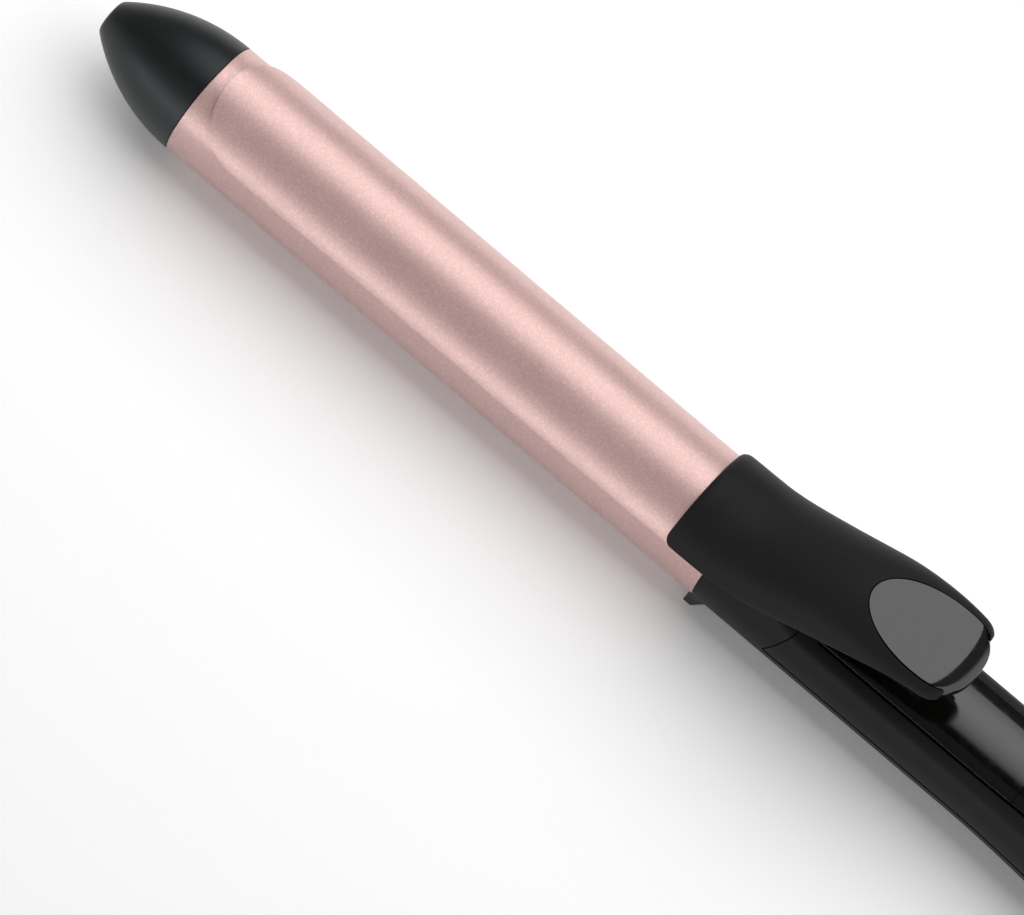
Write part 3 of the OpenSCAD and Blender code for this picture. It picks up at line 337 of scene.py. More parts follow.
def workedMetal(name, colour, roughness, stretch=(1, 1, 1), size=0.6):
    # Drawn, rolled or turned metal: streaks in roughness and relief
    dull = tuple(c * 0.82 for c in colour)
    material, shader = grained(name, dull, colour, (roughness - 0.06, roughness + 0.1), size, 4, 0.004,
                               stretch)
    shader.inputs["Metallic"].default_value = 1
    return material


def innerStuff(name, dark, light, roughness, size, metallic=0):
    # Inner parts: resin, ceramic, film and sleeves
    material, shader = grained(name, dark, light, (roughness - 0.08, roughness + 0.08), size, 4, 0.02)
    shader.inputs["Metallic"].default_value = metallic
    return material


def paintedEdgeShade(tree, place, colour, rim):
    # Painted shade: the sheet's rolled edge, which lies deeper than its outside, is painted darker for the
    # shadow line at the tongue's end. It is left unpainted along the near flank, where the side light falls
    # on it
    offAxis = addNode(tree, "VectorMath", {0: place, 1: (0, 1, 1), 2: (0, 0, rim["axis"])},
                      "MULTIPLY_ADD")[0]
    away = addNode(tree, "VectorMath", {0: offAxis}, "LENGTH")["Value"]
    across = addNode(tree, "SeparateXYZ", {0: place})["Y"]
    deep = spread(tree, away, 1, 0, *rim["depth"])
    upper = spread(tree, across, 0, 1, *rim["side"])
    share = addNode(tree, "Math", {0: deep, 1: upper}, "MULTIPLY")[0]
    return mixed(tree, share, colour, rim["colour"])


def pearlPlating(name, look, rim=None):
    # Pearl plating: a satin metallic ground full of fine flakes, each tilted its own way, with painted shade
    # on the rolled edge when rim is given
    material, tree, shader = emptyFinish(name)
    place = objectPlace(tree)
    flakes = addNode(tree, "TexVoronoi", {"Vector": place, "Scale": 1000 / look["flake"]})["Color"]
    hue = addNode(tree, "SeparateColor", {0: flakes})["Red"]
    cloud = clouds(tree, place, look["cloud"])
    ground = mixed(tree, cloud, look["dark"], look["light"])
    colour = mixed(tree, spread(tree, hue, 0, look["flakeShow"], *look["flakeHue"]), ground,
                   look["flakeColour"])
    # Painted shade: the rolled edge is coloured darker
    if rim:
        colour = paintedEdgeShade(tree, place, colour, rim)
    middle, swing = look["roughness"], look["roughSwing"]
    surface = addNode(tree, "NewGeometry")["Normal"]
    centred = addNode(tree, "VectorMath", {0: flakes, 1: grey(0.5)}, "SUBTRACT")[0]
    tilted = addNode(tree, "VectorMath", {0: centred, 1: grey(look["flakeTilt"]), 2: surface},
                     "MULTIPLY_ADD")[0]
    feed(tree, shader, {"Base Color": colour, "Metallic": look["metallic"], "Specular IOR Level": 0.5,
                        "Roughness": spread(tree, cloud, middle - swing, middle + swing),
                        "Normal": addNode(tree, "VectorMath", {0: tilted}, "NORMALIZE")[0]})
    return material


roseLook = {
    "dark": (0.640, 0.412, 0.388), "light": (0.670, 0.436, 0.412), "cloud": 11,
    "flakeColour": (0.92, 0.76, 0.73),
    "flake": 0.30,              # millimetres across
    "flakeShow": 0.32, "flakeHue": (0.55, 1.0), "flakeTilt": 0.055,
    "roughness": 0.345, "roughSwing": 0.02, "metallic": 0.40,
}
# Painted shade on the clamp's rolled edge: its axis, how deep it reaches, the upper side it covers, and its
# dark colour
edgeShadeLook = {
    "axis": -0.0183, "depth": (0.01730, 0.01737), "side": (-0.0125, -0.0085),      # metres
    "colour": (0.10, 0.055, 0.048),
}
capTint = (0.90, 0.98, 1, 1)
plastics = {    # name, two tones, roughness, size and depth of the grain, specular
    "cap": ("capBlack", (0.0045, 0.0053, 0.0057), (0.0062, 0.0070, 0.0075), 0.38, 0.3, 0.02, 0.40),
    "cover": ("coverBlack", grey(0.0085), grey(0.0105), 0.5, 0.3, 0.03, 0.14),
    "shell": ("shellBlack", grey(0.0100), grey(0.0125), 0.44, 0.3, 0.025, 0.13),
    "gloss": ("panelGloss", (0.0025, 0.0025, 0.0022), (0.0035, 0.0035, 0.0031), 0.09, 2.5, 0.002, 0.80),
    "pad": ("padGloss", grey(0.0030), grey(0.0045), 0.12, 1.8, 0.002, 0.82),
    "ring": ("ringBlack", grey(0.006), grey(0.009), 0.25, 0.8, 0.006, 0.4),
}
metals = {      # name, colour, roughness, stretch and size of the streaks
    "steel": ("bentSteel", (0.60, 0.60, 0.62), 0.28, (0.1, 1, 1)),
    "wire": ("springWire", (0.42, 0.42, 0.44), 0.25, (1, 1, 1), 0.3),
    "screw": ("blackScrew", (0.22, 0.22, 0.23), 0.35, (1, 1, 1), 0.4),
    "strip": ("rolledStrip", (0.70, 0.70, 0.72), 0.22, (0.1, 1, 1)),
    "alloy": ("extrudedAlloy", (0.78, 0.78, 0.80), 0.35, (0.04, 1, 1)),
    "brass": ("turnedBrass", (0.78, 0.60, 0.26), 0.2, (1, 0.2, 0.2), 0.5),
}
inners = {      # name, two tones, roughness, size of the mottling, metallic
    "mount": ("heatproofMoulding", (0.030, 0.029, 0.028), (0.045, 0.043, 0.040), 0.55, 1.2),
    "insulator": ("fibreBoard", (0.62, 0.56, 0.44), (0.74, 0.68, 0.56), 0.7, 0.8),
    "ceramic": ("sinteredStone", (0.42, 0.41, 0.38), (0.55, 0.54, 0.50), 0.6, 0.5),
    "film": ("amberFilm", (0.55, 0.26, 0.05), (0.68, 0.36, 0.08), 0.25, 6),
    "bead": ("epoxyBead", (0.50, 0.22, 0.08), (0.62, 0.30, 0.12), 0.3, 2),
    "can": ("fuseCan", (0.62, 0.61, 0.58), (0.72, 0.71, 0.68), 0.25, 1.5, 1),
    "board": ("solderMask", (0.010, 0.12, 0.045), (0.020, 0.17, 0.07), 0.3, 2.4),
    "chip": ("chipBody", (0.015, 0.015, 0.016), (0.025, 0.025, 0.026), 0.5, 0.6),
    "capacitor": ("boxedFilm", (0.60, 0.42, 0.05), (0.72, 0.52, 0.08), 0.3, 3),
    "diode": ("clearBody", (0.78, 0.78, 0.72), (0.86, 0.86, 0.80), 0.2, 1),
    "sleeve": ("glassSleeve", (0.60, 0.60, 0.56), (0.72, 0.72, 0.68), 0.6, 0.6),
    "supply": ("siliconeSleeve", (0.020, 0.020, 0.024), (0.030, 0.030, 0.034), 0.45, 0.8),
    "lens": ("lightGuide", (0.55, 0.57, 0.58), (0.62, 0.64, 0.65), 0.12, 1.5),
}
finishes = {
    "rose": pearlPlating("rosePearl", roseLook),
    "clamp": pearlPlating("rolledPearl", roseLook, edgeShadeLook),
}
for mix, looks in ((mouldedPlastic, plastics), (workedMetal, metals), (innerStuff, inners)):
    finishes.update({key: mix(*look) for key, look in looks.items()})
finishes["cap"].node_tree.nodes["Principled BSDF"].inputs["Specular Tint"].default_value = capTint

# The inner nodes keep their own meshes
nodeFinish = {
    "tip_insulator": "insulator", "heat_spreader_upper": "alloy", "heat_spreader_lower": "alloy",
    "ptc_stones": "ceramic", "electrode_strips": "strip", "heater_wrap": "film", "thermistor": "bead",
    "thermal_fuse": "can", "barrel_mount": "mount", "shell_screws": "screw", "hinge_pin": "steel",
    "pin_clip": "steel", "return_spring": "wire", "circuit_board": "board", "tact_switches": "chip",
    "indicator_leds": "diode", "triac": "chip", "capacitor": "capacitor", "board_screws": "screw",
    "heater_leads": "sleeve", "supply_leads": "supply", "brush_block": "ceramic",
    "contact_brushes": "brass", "slip_rings": "brass", "lever_bracket": "steel",
    "clamp_rivets": "steel", "lever_screws": "screw",
}
for node, finish in nodeFinish.items():
    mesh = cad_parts[node].data
    mesh.materials.clear()
    mesh.materials.append(finishes[finish])
print("finishes mixed:", len(finishes))


# Ways of making a piece

def sheetOf(rows, columns, place):
    # A grid whose vertex (row, column) goes to place(row, column)
    bm = bmesh.new()
    bmesh.ops.create_grid(bm, x_segments=rows, y_segments=columns, size=1)
    for vertex in bm.verts:
        row = round((vertex.co.x + 1) / 2 * rows)
        column = round((vertex.co.y + 1) / 2 * columns)
        vertex.co = place(row, column)
    bmesh.ops.remove_doubles(bm, verts=bm.verts, dist=weld)
    return bm


def spun(points, axis, steps, move):
    # Spins a line of points once round an axis through the middle, then moves it
    bm = bmesh.new()
    line = [bm.verts.new(point) for point in points]
    edges = [bm.edges.new(pair) for pair in zip(line, line[1:])]
    bmesh.ops.spin(bm, geom=line + edges, cent=(0, 0, 0), axis=axis, angle=math.tau, steps=steps,
                   use_merge=True)
    bmesh.ops.remove_doubles(bm, verts=bm.verts, dist=weld)
    bmesh.ops.translate(bm, verts=bm.verts, vec=move)
    return bm


def turnedFrom(profile, steps=120, drop=0.0):
    # Turned about the x axis from (x, radius) points. A first or last radius of 0 closes it
    return spun([(x, 0, radius) for x, radius in profile], (1, 0, 0), steps, (0, 0, -drop))


def turnedUp(profile, x, steps=72):
    # Turned about an upright axis at x from (radius, z) points
    return spun([(radius, 0, z) for radius, z in profile], (0, 0, 1), steps, (x, 0, 0))


def prism(outline, low, high, across=False):
    # A closed prism: an outline of (x, y) drawn up from low to high, or of (x, z) drawn across y
    bm = bmesh.new()
    corners = [bm.verts.new((a, low, b) if across else (a, b, low)) for a, b in outline]
    face = bm.faces.new(corners)
    grown = bmesh.ops.extrude_face_region(bm, geom=[face])
    bmesh.ops.translate(bm, verts=[g for g in grown["geom"] if isinstance(g, bmesh.types.BMVert)],
                        vec=(0, high - low, 0) if across else (0, 0, high - low))
    bmesh.ops.recalc_face_normals(bm, faces=bm.faces)
    return bm


def upright(x, radius, low, high):
    # A closed cylinder standing on z
    bm = bmesh.new()
    bmesh.ops.create_cone(bm, cap_ends=True, segments=48, radius1=radius, radius2=radius,
                          depth=high - low, matrix=Matrix.Translation((x, 0, (low + high) / 2)))
    return bm


def block(low, high):
    bm = bmesh.new()
    low, high = Vector(low), Vector(high)
    bmesh.ops.create_cube(bm, size=1, matrix=Matrix.Translation((low + high) / 2)
                          @ Matrix.Diagonal((*(high - low), 1)))
    return bm


def gather(bm, other):
    # Adds another bmesh to bm
    carrier = meshFrom("carrier", other)
    bm.from_mesh(carrier)
    bpy.data.meshes.remove(carrier)


def joinAtRims(outer, inner):
    # Closes two sheets into one wall along their rims
    gather(outer, inner)
    bmesh.ops.bridge_loops(outer, edges=[edge for edge in outer.edges if edge.is_boundary])
    return outer


def smoothed(mesh, sharp):
    for face in mesh.polygons:
        face.use_smooth = True
    mesh.set_sharp_from_angle(angle=math.radians(sharp))


def drawPiece(name, bm, finish, sharp=40, recalc=True):
    # Turns a bmesh in millimetres into an object in the frame
    if recalc:
        bmesh.ops.recalc_face_normals(bm, faces=bm.faces)
    bm.transform(toFrame)
    mesh = meshFrom(name, bm)
    smoothed(mesh, sharp)
    mesh.materials.append(finishes[finish])
    return linked(name, mesh)


def carve(piece, tool, operation="DIFFERENCE"):
    # Cuts piece with a tool, a bmesh or another object, then removes the tool
    if isinstance(tool, bmesh.types.BMesh):
        tool = drawPiece("tool", tool, "shell")
    cut = piece.modifiers.new("cut", "BOOLEAN")
    cut.operation = operation
    cut.solver = "EXACT"
    cut.object = tool
    bpy.context.view_layer.update()
    done = bpy.data.meshes.new_from_object(piece.evaluated_get(bpy.context.evaluated_depsgraph_get()))
    piece.modifiers.clear()
    old = piece.data
    piece.data = done
    bpy.data.meshes.remove(old)
    bpy.data.objects.remove(tool)
    smoothed(piece.data, 35)


def soften(piece, width, segments=3, angle=40):
    # Rounds the edges sharper than angle
    rounding = piece.modifiers.new("edges", "BEVEL")
    rounding.width = width / 1000
    rounding.segments = segments
    rounding.limit_method = "ANGLE"
    rounding.angle_limit = math.radians(angle)
    rounding.use_clamp_overlap = True
    rounding.harden_normals = True


def assemble(piece, node, body):
    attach(piece, body)
    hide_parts(node)
    print(node, "made:", len(piece.data.polygons), "faces")


# Cool tip

capSizes = {
    "length": 32, "nose": 4.5, "noseRise": 0.12, "noseRound": 1.1, "wall": 2.2, "wallExtra": 0.1,
    "spigot": 9, "spigotFit": 1.1, "seamLip": 0.35, "seamGap": 0.03, "insideStep": 3.2,
    "noseSteps": 6, "sideSteps": 30,
}


def makeCap(s):
    tip, lip, gap = -s["length"], s["seamLip"], s["seamGap"]
    rise = barrelRadius - s["nose"]
    arc = (rise ** 2 + tip ** 2) / (2 * rise)        # radius of the cap's side in profile

    def side(x):
        return x, barrelRadius - arc + math.sqrt(arc ** 2 - x ** 2)

    turnIn = tip + 0.75 * s["noseRound"]
    start = Vector((tip + s["noseRise"], s["nose"] - s["noseRound"]))
    corner = Vector((tip + 0.02, s["nose"] - 0.02))
    end = Vector(side(turnIn)) - Vector((0, 0.02))
    profile = [(tip, 0), tuple(start)]
    for k in range(1, s["noseSteps"] + 1):
        t = k / s["noseSteps"]
        profile.append(tuple(start * (1 - t) ** 2 + corner * 2 * t * (1 - t) + end * t ** 2))
    profile += [side(turnIn * (1 - k / s["sideSteps"])) for k in range(1, s["sideSteps"])]
    # The seam's edge is rounded under
    profile += [(-lip - 0.05, barrelRadius - 0.002), (-lip * 0.5, barrelRadius - lip * 0.14),
                (-gap, barrelRadius - lip * 0.8)]
    inner = barrelRadius - s["spigotFit"]
    profile += [(-gap, inner), (s["spigot"], inner), (s["spigot"], inner - s["wall"])]
    inside = [-k * s["insideStep"] for k in range(1, 10)]
    profile += [(x, side(x)[1] - s["wall"] - s["wallExtra"]) for x in inside[:-1]] + [(inside[-1], 0)]
    assemble(drawPiece("coolTip", turnedFrom(profile), "cap", sharp=30), "cool_tip", "handle")


makeCap(capSizes)


# Barrel

barrelSizes = {"front": 0.02, "end": 170.4, "wall": 1.0, "edge": 0.3, "bands": 12}


def makeBarrel(s):
    front, end, r, edge = s["front"], s["end"], barrelRadius, s["edge"]
    profile = [(front, r - s["wall"])]
    for a in map(math.radians, (90, 67, 45, 22, 0)):
        profile.append((front + edge * (1 - math.sin(a)), r - edge * (1 - math.cos(a))))
    profile += [(k * end / s["bands"], r) for k in range(1, s["bands"] + 1)]
    profile += [(end, r - s["wall"]), (front, r - s["wall"])]
    assemble(drawPiece("barrelTube", turnedFrom(profile, 160), "rose", sharp=50), "barrel_tube", "handle")


makeBarrel(barrelSizes)


# Clamp: the sprung half of the barrel, a rolled sheet with a rounded end

clampSizes = {
    "outer": 17.4, "sheet": 0.9, "halfAngle": 62, "start": 3.7, "endRound": 14.5, "root": 171.5,
    "shoulder": 172.7, "neck": 174.5, "end": 179.6, "neckHalf": 7.0, "edge": 0.3,
    "rows": 36, "columns": 72, "endRows": 9, "crowding": 1.7,       # the mesh is finer at the end
}


def makeClamp(s):
    halfArc = s["outer"] * math.radians(s["halfAngle"])
    body = s["rows"]

    def place(row, column):
        even = column / s["columns"] * 2 - 1
        turn = math.radians(90 * even)
        share = between(math.sin(turn), even, clamped(row / s["endRows"]))
        start = s["start"] + s["endRound"] * (1 - math.cos(turn))
        x, half = between(start, s["root"], (row / body) ** s["crowding"]), halfArc
        if row > body:
            x = (s["shoulder"], s["neck"], s["end"])[row - body - 1]
            half = between(halfArc, s["neckHalf"], along(x, s["root"], s["neck"]))
        angle = share * half / s["outer"]
        return x, s["outer"] * math.sin(angle), s["outer"] * math.cos(angle)

    clamp = drawPiece("clampTongue", sheetOf(body + 3, s["columns"], place), "clamp", recalc=False)
    thicken = clamp.modifiers.new("wall", "SOLIDIFY")
    thicken.thickness = s["sheet"] / 1000
    thicken.offset = -1
    thicken.use_even_offset = True
    soften(clamp, s["edge"])
    assemble(clamp, "clamp_tongue", "lever")


makeClamp(clampSizes)


# Lever cover: a moulded shell from the barrel's circle in front to the thumb's arch behind

coverSizes = {
    "start": 158, "length": 77.7, "radius": 19.5, "inner": 17.5, "wall": 2.0, "halfAngle": 60,
    "corner": 2.3, "crownFrom": 167, "crownTo": 215.3, "crownRise": 16.1,
    "skirtFrom": 170.2, "skirtTo": 230.4, "skirtRise": 22, "slope": 1.5, "waist": 1.1, "taper": 2.5,
    "taperPower": 1.6, "lobe": 4.4, "lobeInset": 2.6, "archPower": 2.13, "archLength": 32,
    "bed": 1.2, "bedRamp": 9, "edge": 0.4, "frontBevel": 3.0, "frontDrop": 1.45, "skirtRound": 1.1,
    "skirtPull": 0.7, "columns": 96, "rows": 48, "bossHole": 2.3,
}
padSizes = {
    "start": 206.1, "end": 239.1, "widest": 226.56, "width": 22.3, "thick": 1.6, "gap": 0.17,
    "lift": 0.2, "roll": 5.6, "rollBow": 1.0, "rollHalf": 8.7, "noseRadius": 7.5, "noseDepth": 4.4,
    "noseLeast": 0.4, "leastRoom": 0.02, "nosePower": 2.7, "block": 230.8, "blockBlend": 0.8, "edge": 0.35,
    "bosses": (214.1, 224.1), "middle": 222.56, "rings": 34, "ringPower": 1.7, "backRings": 12,
    "edgePoints": 128,
}
thumbSlope = math.tan(math.radians(coverSizes["slope"]))
coverEnd = coverSizes["start"] + coverSizes["length"]


def skirtAngle(x):
    s = coverSizes
    d = clamped((x - s["start"]) / s["corner"]) * s["corner"]
    inset = s["corner"] - math.sqrt(max(0, 2 * s["corner"] * d - d * d))
    return math.radians(s["halfAngle"]) - inset / s["radius"]


def crownHeight(x):
    s = coverSizes
    rise = s["crownRise"] * ease(along(x, s["crownFrom"], s["crownTo"]))
    return s["radius"] + rise + thumbSlope * max(0, x - padSizes["start"])


def skirtHeight(x):
    s = coverSizes
    rise = s["skirtRise"] * ease(along(x, s["skirtFrom"], s["skirtTo"]))
    return s["radius"] * math.cos(skirtAngle(x)) + rise


def coverHalf(x):
    s = coverSizes
    t = clamped((x - coverEnd + s["lobe"]) / s["lobe"])
    return s["radius"] * math.sin(skirtAngle(x)) \
        - s["waist"] * ease(along(x, s["start"], padSizes["start"])) \
        - s["taper"] * along(x, padSizes["start"], coverEnd) ** s["taperPower"] \
        - s["lobeInset"] * (1 - math.sqrt(1 - t * t))


def archShare(x, q):
    # Height of the section at q of its half width: a circle in front, an arch behind
    s = coverSizes
    a = skirtAngle(x)
    circle = (math.sqrt(max(0, 1 - (q * math.sin(a)) ** 2)) - math.cos(a)) / (1 - math.cos(a))
    arch = max(0, 1 - abs(q) ** s["archPower"]) ** (1 / s["archPower"])
    return between(circle, arch, ease((x - s["start"]) / s["archLength"]))


def padTop(x):
    return crownHeight(padSizes["start"]) + padSizes["lift"] + thumbSlope * (x - padSizes["start"])


def coverInside(x):
    # Half width and crown of the inner surface at x
    s = coverSizes
    full = math.radians(s["halfAngle"])
    half = math.sqrt(s["inner"] ** 2 - (s["radius"] * math.cos(full)) ** 2) \
        - s["radius"] * math.sin(full) + coverHalf(x)
    wall = between(s["wall"], crownHeight(x) - padTop(x) + padSizes["thick"] + s["bed"],
                   ease((x - padSizes["start"] + s["bedRamp"]) / s["bedRamp"]))
    return half, max(crownHeight(x) - wall, skirtHeight(x) + 0.1)


def padOutline(gap, points=56):
    # Plan of the thumb pad: a long half ellipse in front, a short blunt one behind
    s = padSizes
    outline = []
    for i in range(points):
        t = math.tau * i / points
        c, sn = math.cos(t), math.sin(t)
        power = 2 if c < 0 else s["nosePower"]
        reach = gap + (s["widest"] - s["start"] if c < 0 else s["end"] - s["widest"])
        outline.append((s["widest"] + reach * math.copysign(abs(c) ** (2 / power), c),
                        (s["width"] / 2 + gap) * math.copysign(abs(sn) ** (2 / power), sn)))
    return outline


def makeCover(s, pad):
    columns, lobeStart = s["columns"], coverEnd - s["lobe"]
    xs = [s["start"] + s["corner"] * (1 - math.cos(math.radians(15 * k))) for k in range(7)]
    xs += [between(xs[-1], lobeStart, k / s["rows"]) for k in range(1, s["rows"] + 1)]
    xs += [lobeStart + s["lobe"] * math.sin(math.radians(11.25 * k)) for k in range(1, 9)]

    def shareAt(x, column):
        # Columns close up towards the skirts, more so in the arch than in the front circle
        even = column / columns * 2 - 1
        crowded = 0.5 + 0.5 * ease((x - s["start"]) / s["archLength"])
        return between(even, math.sin(math.radians(90 * even)), crowded)

    def inside(row, column):
        x, q = xs[row], shareAt(xs[row], column)
        half, top = coverInside(x)
        return x, half * q, between(skirtHeight(x), top, archShare(x, q))

    def outside(row, column):
        # The front edge is rounded down towards the barrel
        x, q = xs[row], shareAt(xs[row], column)
        near = clamped(1 - (x - s["start"]) / s["frontBevel"])
        shrink = 1 - s["frontDrop"] * (1 - math.sqrt(1 - near * near)) / s["radius"]
        y = coverHalf(x) * q * shrink
        z = between(skirtHeight(x), crownHeight(x), archShare(x, q)) * shrink
        # and the skirts are rounded in towards the inner surface
        inY, inZ = inside(row, column)[1:]
        rim = math.hypot(y - math.copysign(coverHalf(x) * shrink, q), z - skirtHeight(x) * shrink)
        edge = clamped(1 - rim / s["skirtRound"])
        pull = s["skirtRound"] * (1 - math.sqrt(1 - edge * edge)) / math.hypot(inY - y, inZ - z)
        pull = min(s["skirtPull"], pull)
        return x, between(y, inY, pull), between(z, inZ, pull)

    shell = joinAtRims(sheetOf(len(xs) - 1, columns, outside), sheetOf(len(xs) - 1, columns, inside))
    cover = drawPiece("leverCover", shell, "cover")

    # The pad's pocket is shallow as far as the block and open behind it
    front, back, blockX, over = pad["start"] - 1, pad["end"] + 1, pad["block"] - pad["gap"], 60
    under = pad["thick"] + 0.1
    sideView = [(front, padTop(front) - under), (blockX, padTop(blockX) - under), (blockX, -1),
                (back, -1), (back, over + 1), (front, over + 1)]
    pocket = drawPiece("pocket", prism(padOutline(pad["gap"]), 0, over), "cover")
    carve(pocket, prism(sideView, -30, 30, True), "INTERSECT")
    carve(cover, pocket)
    for x in pad["bosses"]:
        carve(cover, upright(x, s["bossHole"], 0, over))
    soften(cover, s["edge"], 3, 44)
    assemble(cover, "lever_cover", "lever")


makeCover(coverSizes, padSizes)


# Thumb pad: a glossy plate set into the cover, its nose rolled down towards the outline

def makePad(s):
    columns, rollFrom = s["edgePoints"], s["end"] - s["roll"]
    outline = padOutline(-s["gap"], columns)
    lean = s["roll"] / s["noseRadius"]
    under = padTop(rollFrom) - s["noseDepth"]

    def fromMiddle(column, share):
        edgePoint = outline[column % columns]
        return between(s["middle"], edgePoint[0], share), edgePoint[1] * share

    def edgeX(y):
        # The outline's x on the nose, straight behind y
        q = clamped(abs(y) / (s["width"] / 2))
        return s["widest"] + (s["end"] - s["widest"]) * (1 - q ** s["nosePower"]) ** (1 / s["nosePower"])

    def surface(x, y):
        # The roll starts at a line bowed towards the nose
        start = rollFrom - s["rollBow"] * (abs(y) / s["rollHalf"]) ** 2
        room = edgeX(y) - start
        if x <= start or room <= s["leastRoom"]:
            return padTop(x)
        t = clamped((x - start) / room) * lean
        return padTop(x) - room / lean * (1 - math.sqrt(1 - t * t))

    def face(row, column):
        x, y = fromMiddle(column, 1 - (1 - row / s["rings"]) ** s["ringPower"])
        return x, y, surface(x, y)

    def back(row, column):
        x, y = fromMiddle(column, 1 - row / s["backRings"])
        thick = ease((x - s["block"] + s["blockBlend"] / 2) / s["blockBlend"])
        return x, y, between(padTop(x) - s["thick"], min(under, surface(x, y) - s["noseLeast"]), thick)

    plate = joinAtRims(sheetOf(s["rings"], columns, face), sheetOf(s["backRings"], columns, back))
    pad = drawPiece("thumbPad", plate, "pad", sharp=50)
    soften(pad, s["edge"], 3, 50)
    assemble(pad, "thumb_pad", "lever")


makePad(padSizes)


# Handle: the outer form that both halves of the casing share

handleSizes = {
    "front": 170, "tail": 320, "radius": 15.9, "drop": 0.3, "swell": 2.1, "swellFrom": 251.5,
    "swellTo": 306.5, "tailRound": 12, "tailFace": 13.5,
    # The top is a flatter arc, higher in front
    "crown": 24, "crownAxis": 11.8, "crownBlend": 0.5, "frontRise": 3.7, "riseFrom": 178, "riseTo": 200,
    "wall": 2.2, "endWall": 4.6, "clasp": 2.6, "claspRadius": 12.3, "bore": 10.0,
    "parting": -1.7, "seam": 192.5, "seamLean": 23.6, "seamGap": 0.3, "frontTilt": 4.7,
    "notchHalf": 8.6, "notchEnd": 192.5, "footWidth": 24, "footSole": 2.3, "footTop": -0.4, "heel": 72,
    "revealHeight": 0.55, "revealDepth": 0.7, "edge": 0.22,
    "screws": [(190, -14.6), (214, -14.0), (260.1, -14.0)],         # place along x, seat of the head
    "screwHole": 1.5, "screwHead": 2.8, "columns": 144,
}
panelSizes = {
    "start": 203, "split": 263.8, "end": 308, "width": 20.9, "gap": 0.4, "endGap": 0.15, "proud": 0.8,
    "thick": 1.6, "edge": 0.5, "columns": 32, "wellRows": 30, "wellColumns": 24,
}
buttonSizes = {
    "minus": (270.8, 3.4), "plus": (286.8, 3.4), "power": (296.6, 4.0),     # place along x, radius
    "gap": 0.2, "sunk": 0.05, "rim": 0.5, "dish": 0.25, "dishRings": 8, "stem": 1.5, "flange": 0.4,
    "flangeThick": 0.8, "deckDepth": 2.65,
    "markRoot": 0.3, "markRise": 0.75,      # rise is a share of the dish's depth
    "lights": (276.4, 278.8, 281.2), "lightRadius": 0.8, "lightGap": 0.05, "lightDome": 0.3,
}
toolTop = 40                                # cutting tools end this far over and beside the iron


def swollen(x):
    s = handleSizes
    return s["swell"] * (1 - math.cos(math.pi * along(x, s["swellFrom"], s["swellTo"]))) / 2


def handleRadius(x):
    s = handleSizes
    t = clamped((x - s["tail"] + s["tailRound"]) / s["tailRound"])
    if t == 0:
        return s["radius"] + swollen(x)
    return s["tailFace"] + (s["radius"] + swollen(s["tail"]) - s["tailFace"]) * math.sqrt(1 - t * t)


def crownRadius(x):
    s = handleSizes
    return s["crown"] + swollen(x) + s["frontRise"] * (1 - ease(along(x, s["riseFrom"], s["riseTo"])))


def onHandle(x, turn, inset=0.0):
    # A point of the handle's surface at an angle from straight up, inset millimetres deep
    s = handleSizes
    arc, side = crownRadius(x) - inset, handleRadius(x) - inset
    lower = s["crownAxis"] - s["drop"]
    across = (lower * math.sin(turn)) ** 2
    top = -lower * math.cos(turn) + math.sqrt(max(0, arc * arc - across))
    gap = clamped(0.5 + 0.5 * (top - side) / s["crownBlend"])
    reach = between(top, side, gap) - s["crownBlend"] * gap * (1 - gap)
    return x, reach * math.sin(turn), reach * math.cos(turn) - s["drop"]


def onDeck(x, y, lift):
    # A point lift millimetres over the handle's flattened top
    return x, y, math.sqrt((crownRadius(x) + lift) ** 2 - y * y) - handleSizes["crownAxis"]


def skinAt(x, inset=0.0, formX=None):
    # A section of the handle's form, taken at formX and put at x
    return lambda turn: (x, *onHandle(x if formX is None else formX, turn, inset)[1:])


def roundAt(x, radius):
    return lambda turn: (x, radius * math.sin(turn), radius * math.cos(turn) - handleSizes["drop"])


def wrapped(sections, columns):
    # A tube through sections that each give the point at an angle from straight up
    return sheetOf(len(sections) - 1, columns, lambda row, column: sections[row](math.tau * column / columns))


def casing(s):
    # The whole casing as one closed wall, its front left long for the tilted cut
    xs = [s["front"] - 4] + [s["front"] + 2 * k for k in range(1, 16)]
    xs += [between(202, s["swellFrom"], k / 8) for k in range(1, 9)]
    xs += [between(s["swellFrom"], s["swellTo"], k / 22) for k in range(1, 23)]
    xs += [s["tail"] - s["tailRound"] + s["tailRound"] * math.sin(math.radians(8 * k)) for k in range(8)]
    claspX, innerEnd = s["tail"] - s["clasp"], s["tail"] - s["endWall"]
    xs = [x for x in xs if x < claspX - 0.3] + [claspX]
    ends = [(claspX, s["claspRadius"]), (s["tail"], s["claspRadius"]), (s["tail"], s["bore"]),
            (innerEnd, s["bore"])]
    sections = [skinAt(x) for x in xs] + [roundAt(*end) for end in ends]
    sections += [skinAt(x, s["wall"]) for x in reversed(xs) if x < innerEnd] + [skinAt(xs[0])]
    return wrapped(sections, s["columns"])


def frontTool(s):
    # Everything ahead of the handle's tilted front
    bm = block((-60, -toolTop, -60), (0, toolTop, 60))
    tilt = Matrix.Rotation(math.radians(s["frontTilt"]), 3, "Y")
    bmesh.ops.rotate(bm, verts=bm.verts, cent=(0, 0, 0), matrix=tilt)
    bmesh.ops.translate(bm, verts=bm.verts, vec=(s["front"], 0, 0))
    return bm


def upperShare(s, gap):
    # Everything over the parting line and behind the leaning seam
    lean = math.tan(math.radians(s["seamLean"]))
    start = s["seam"] + gap / math.cos(math.radians(s["seamLean"])) + gap * lean
    low, back = s["parting"] + gap, s["tail"] + 5
    outline = [(start, low), (back, low), (back, toolTop), (start + (toolTop - low) * lean, toolTop)]
    return prism(outline, -toolTop, toolTop, True)


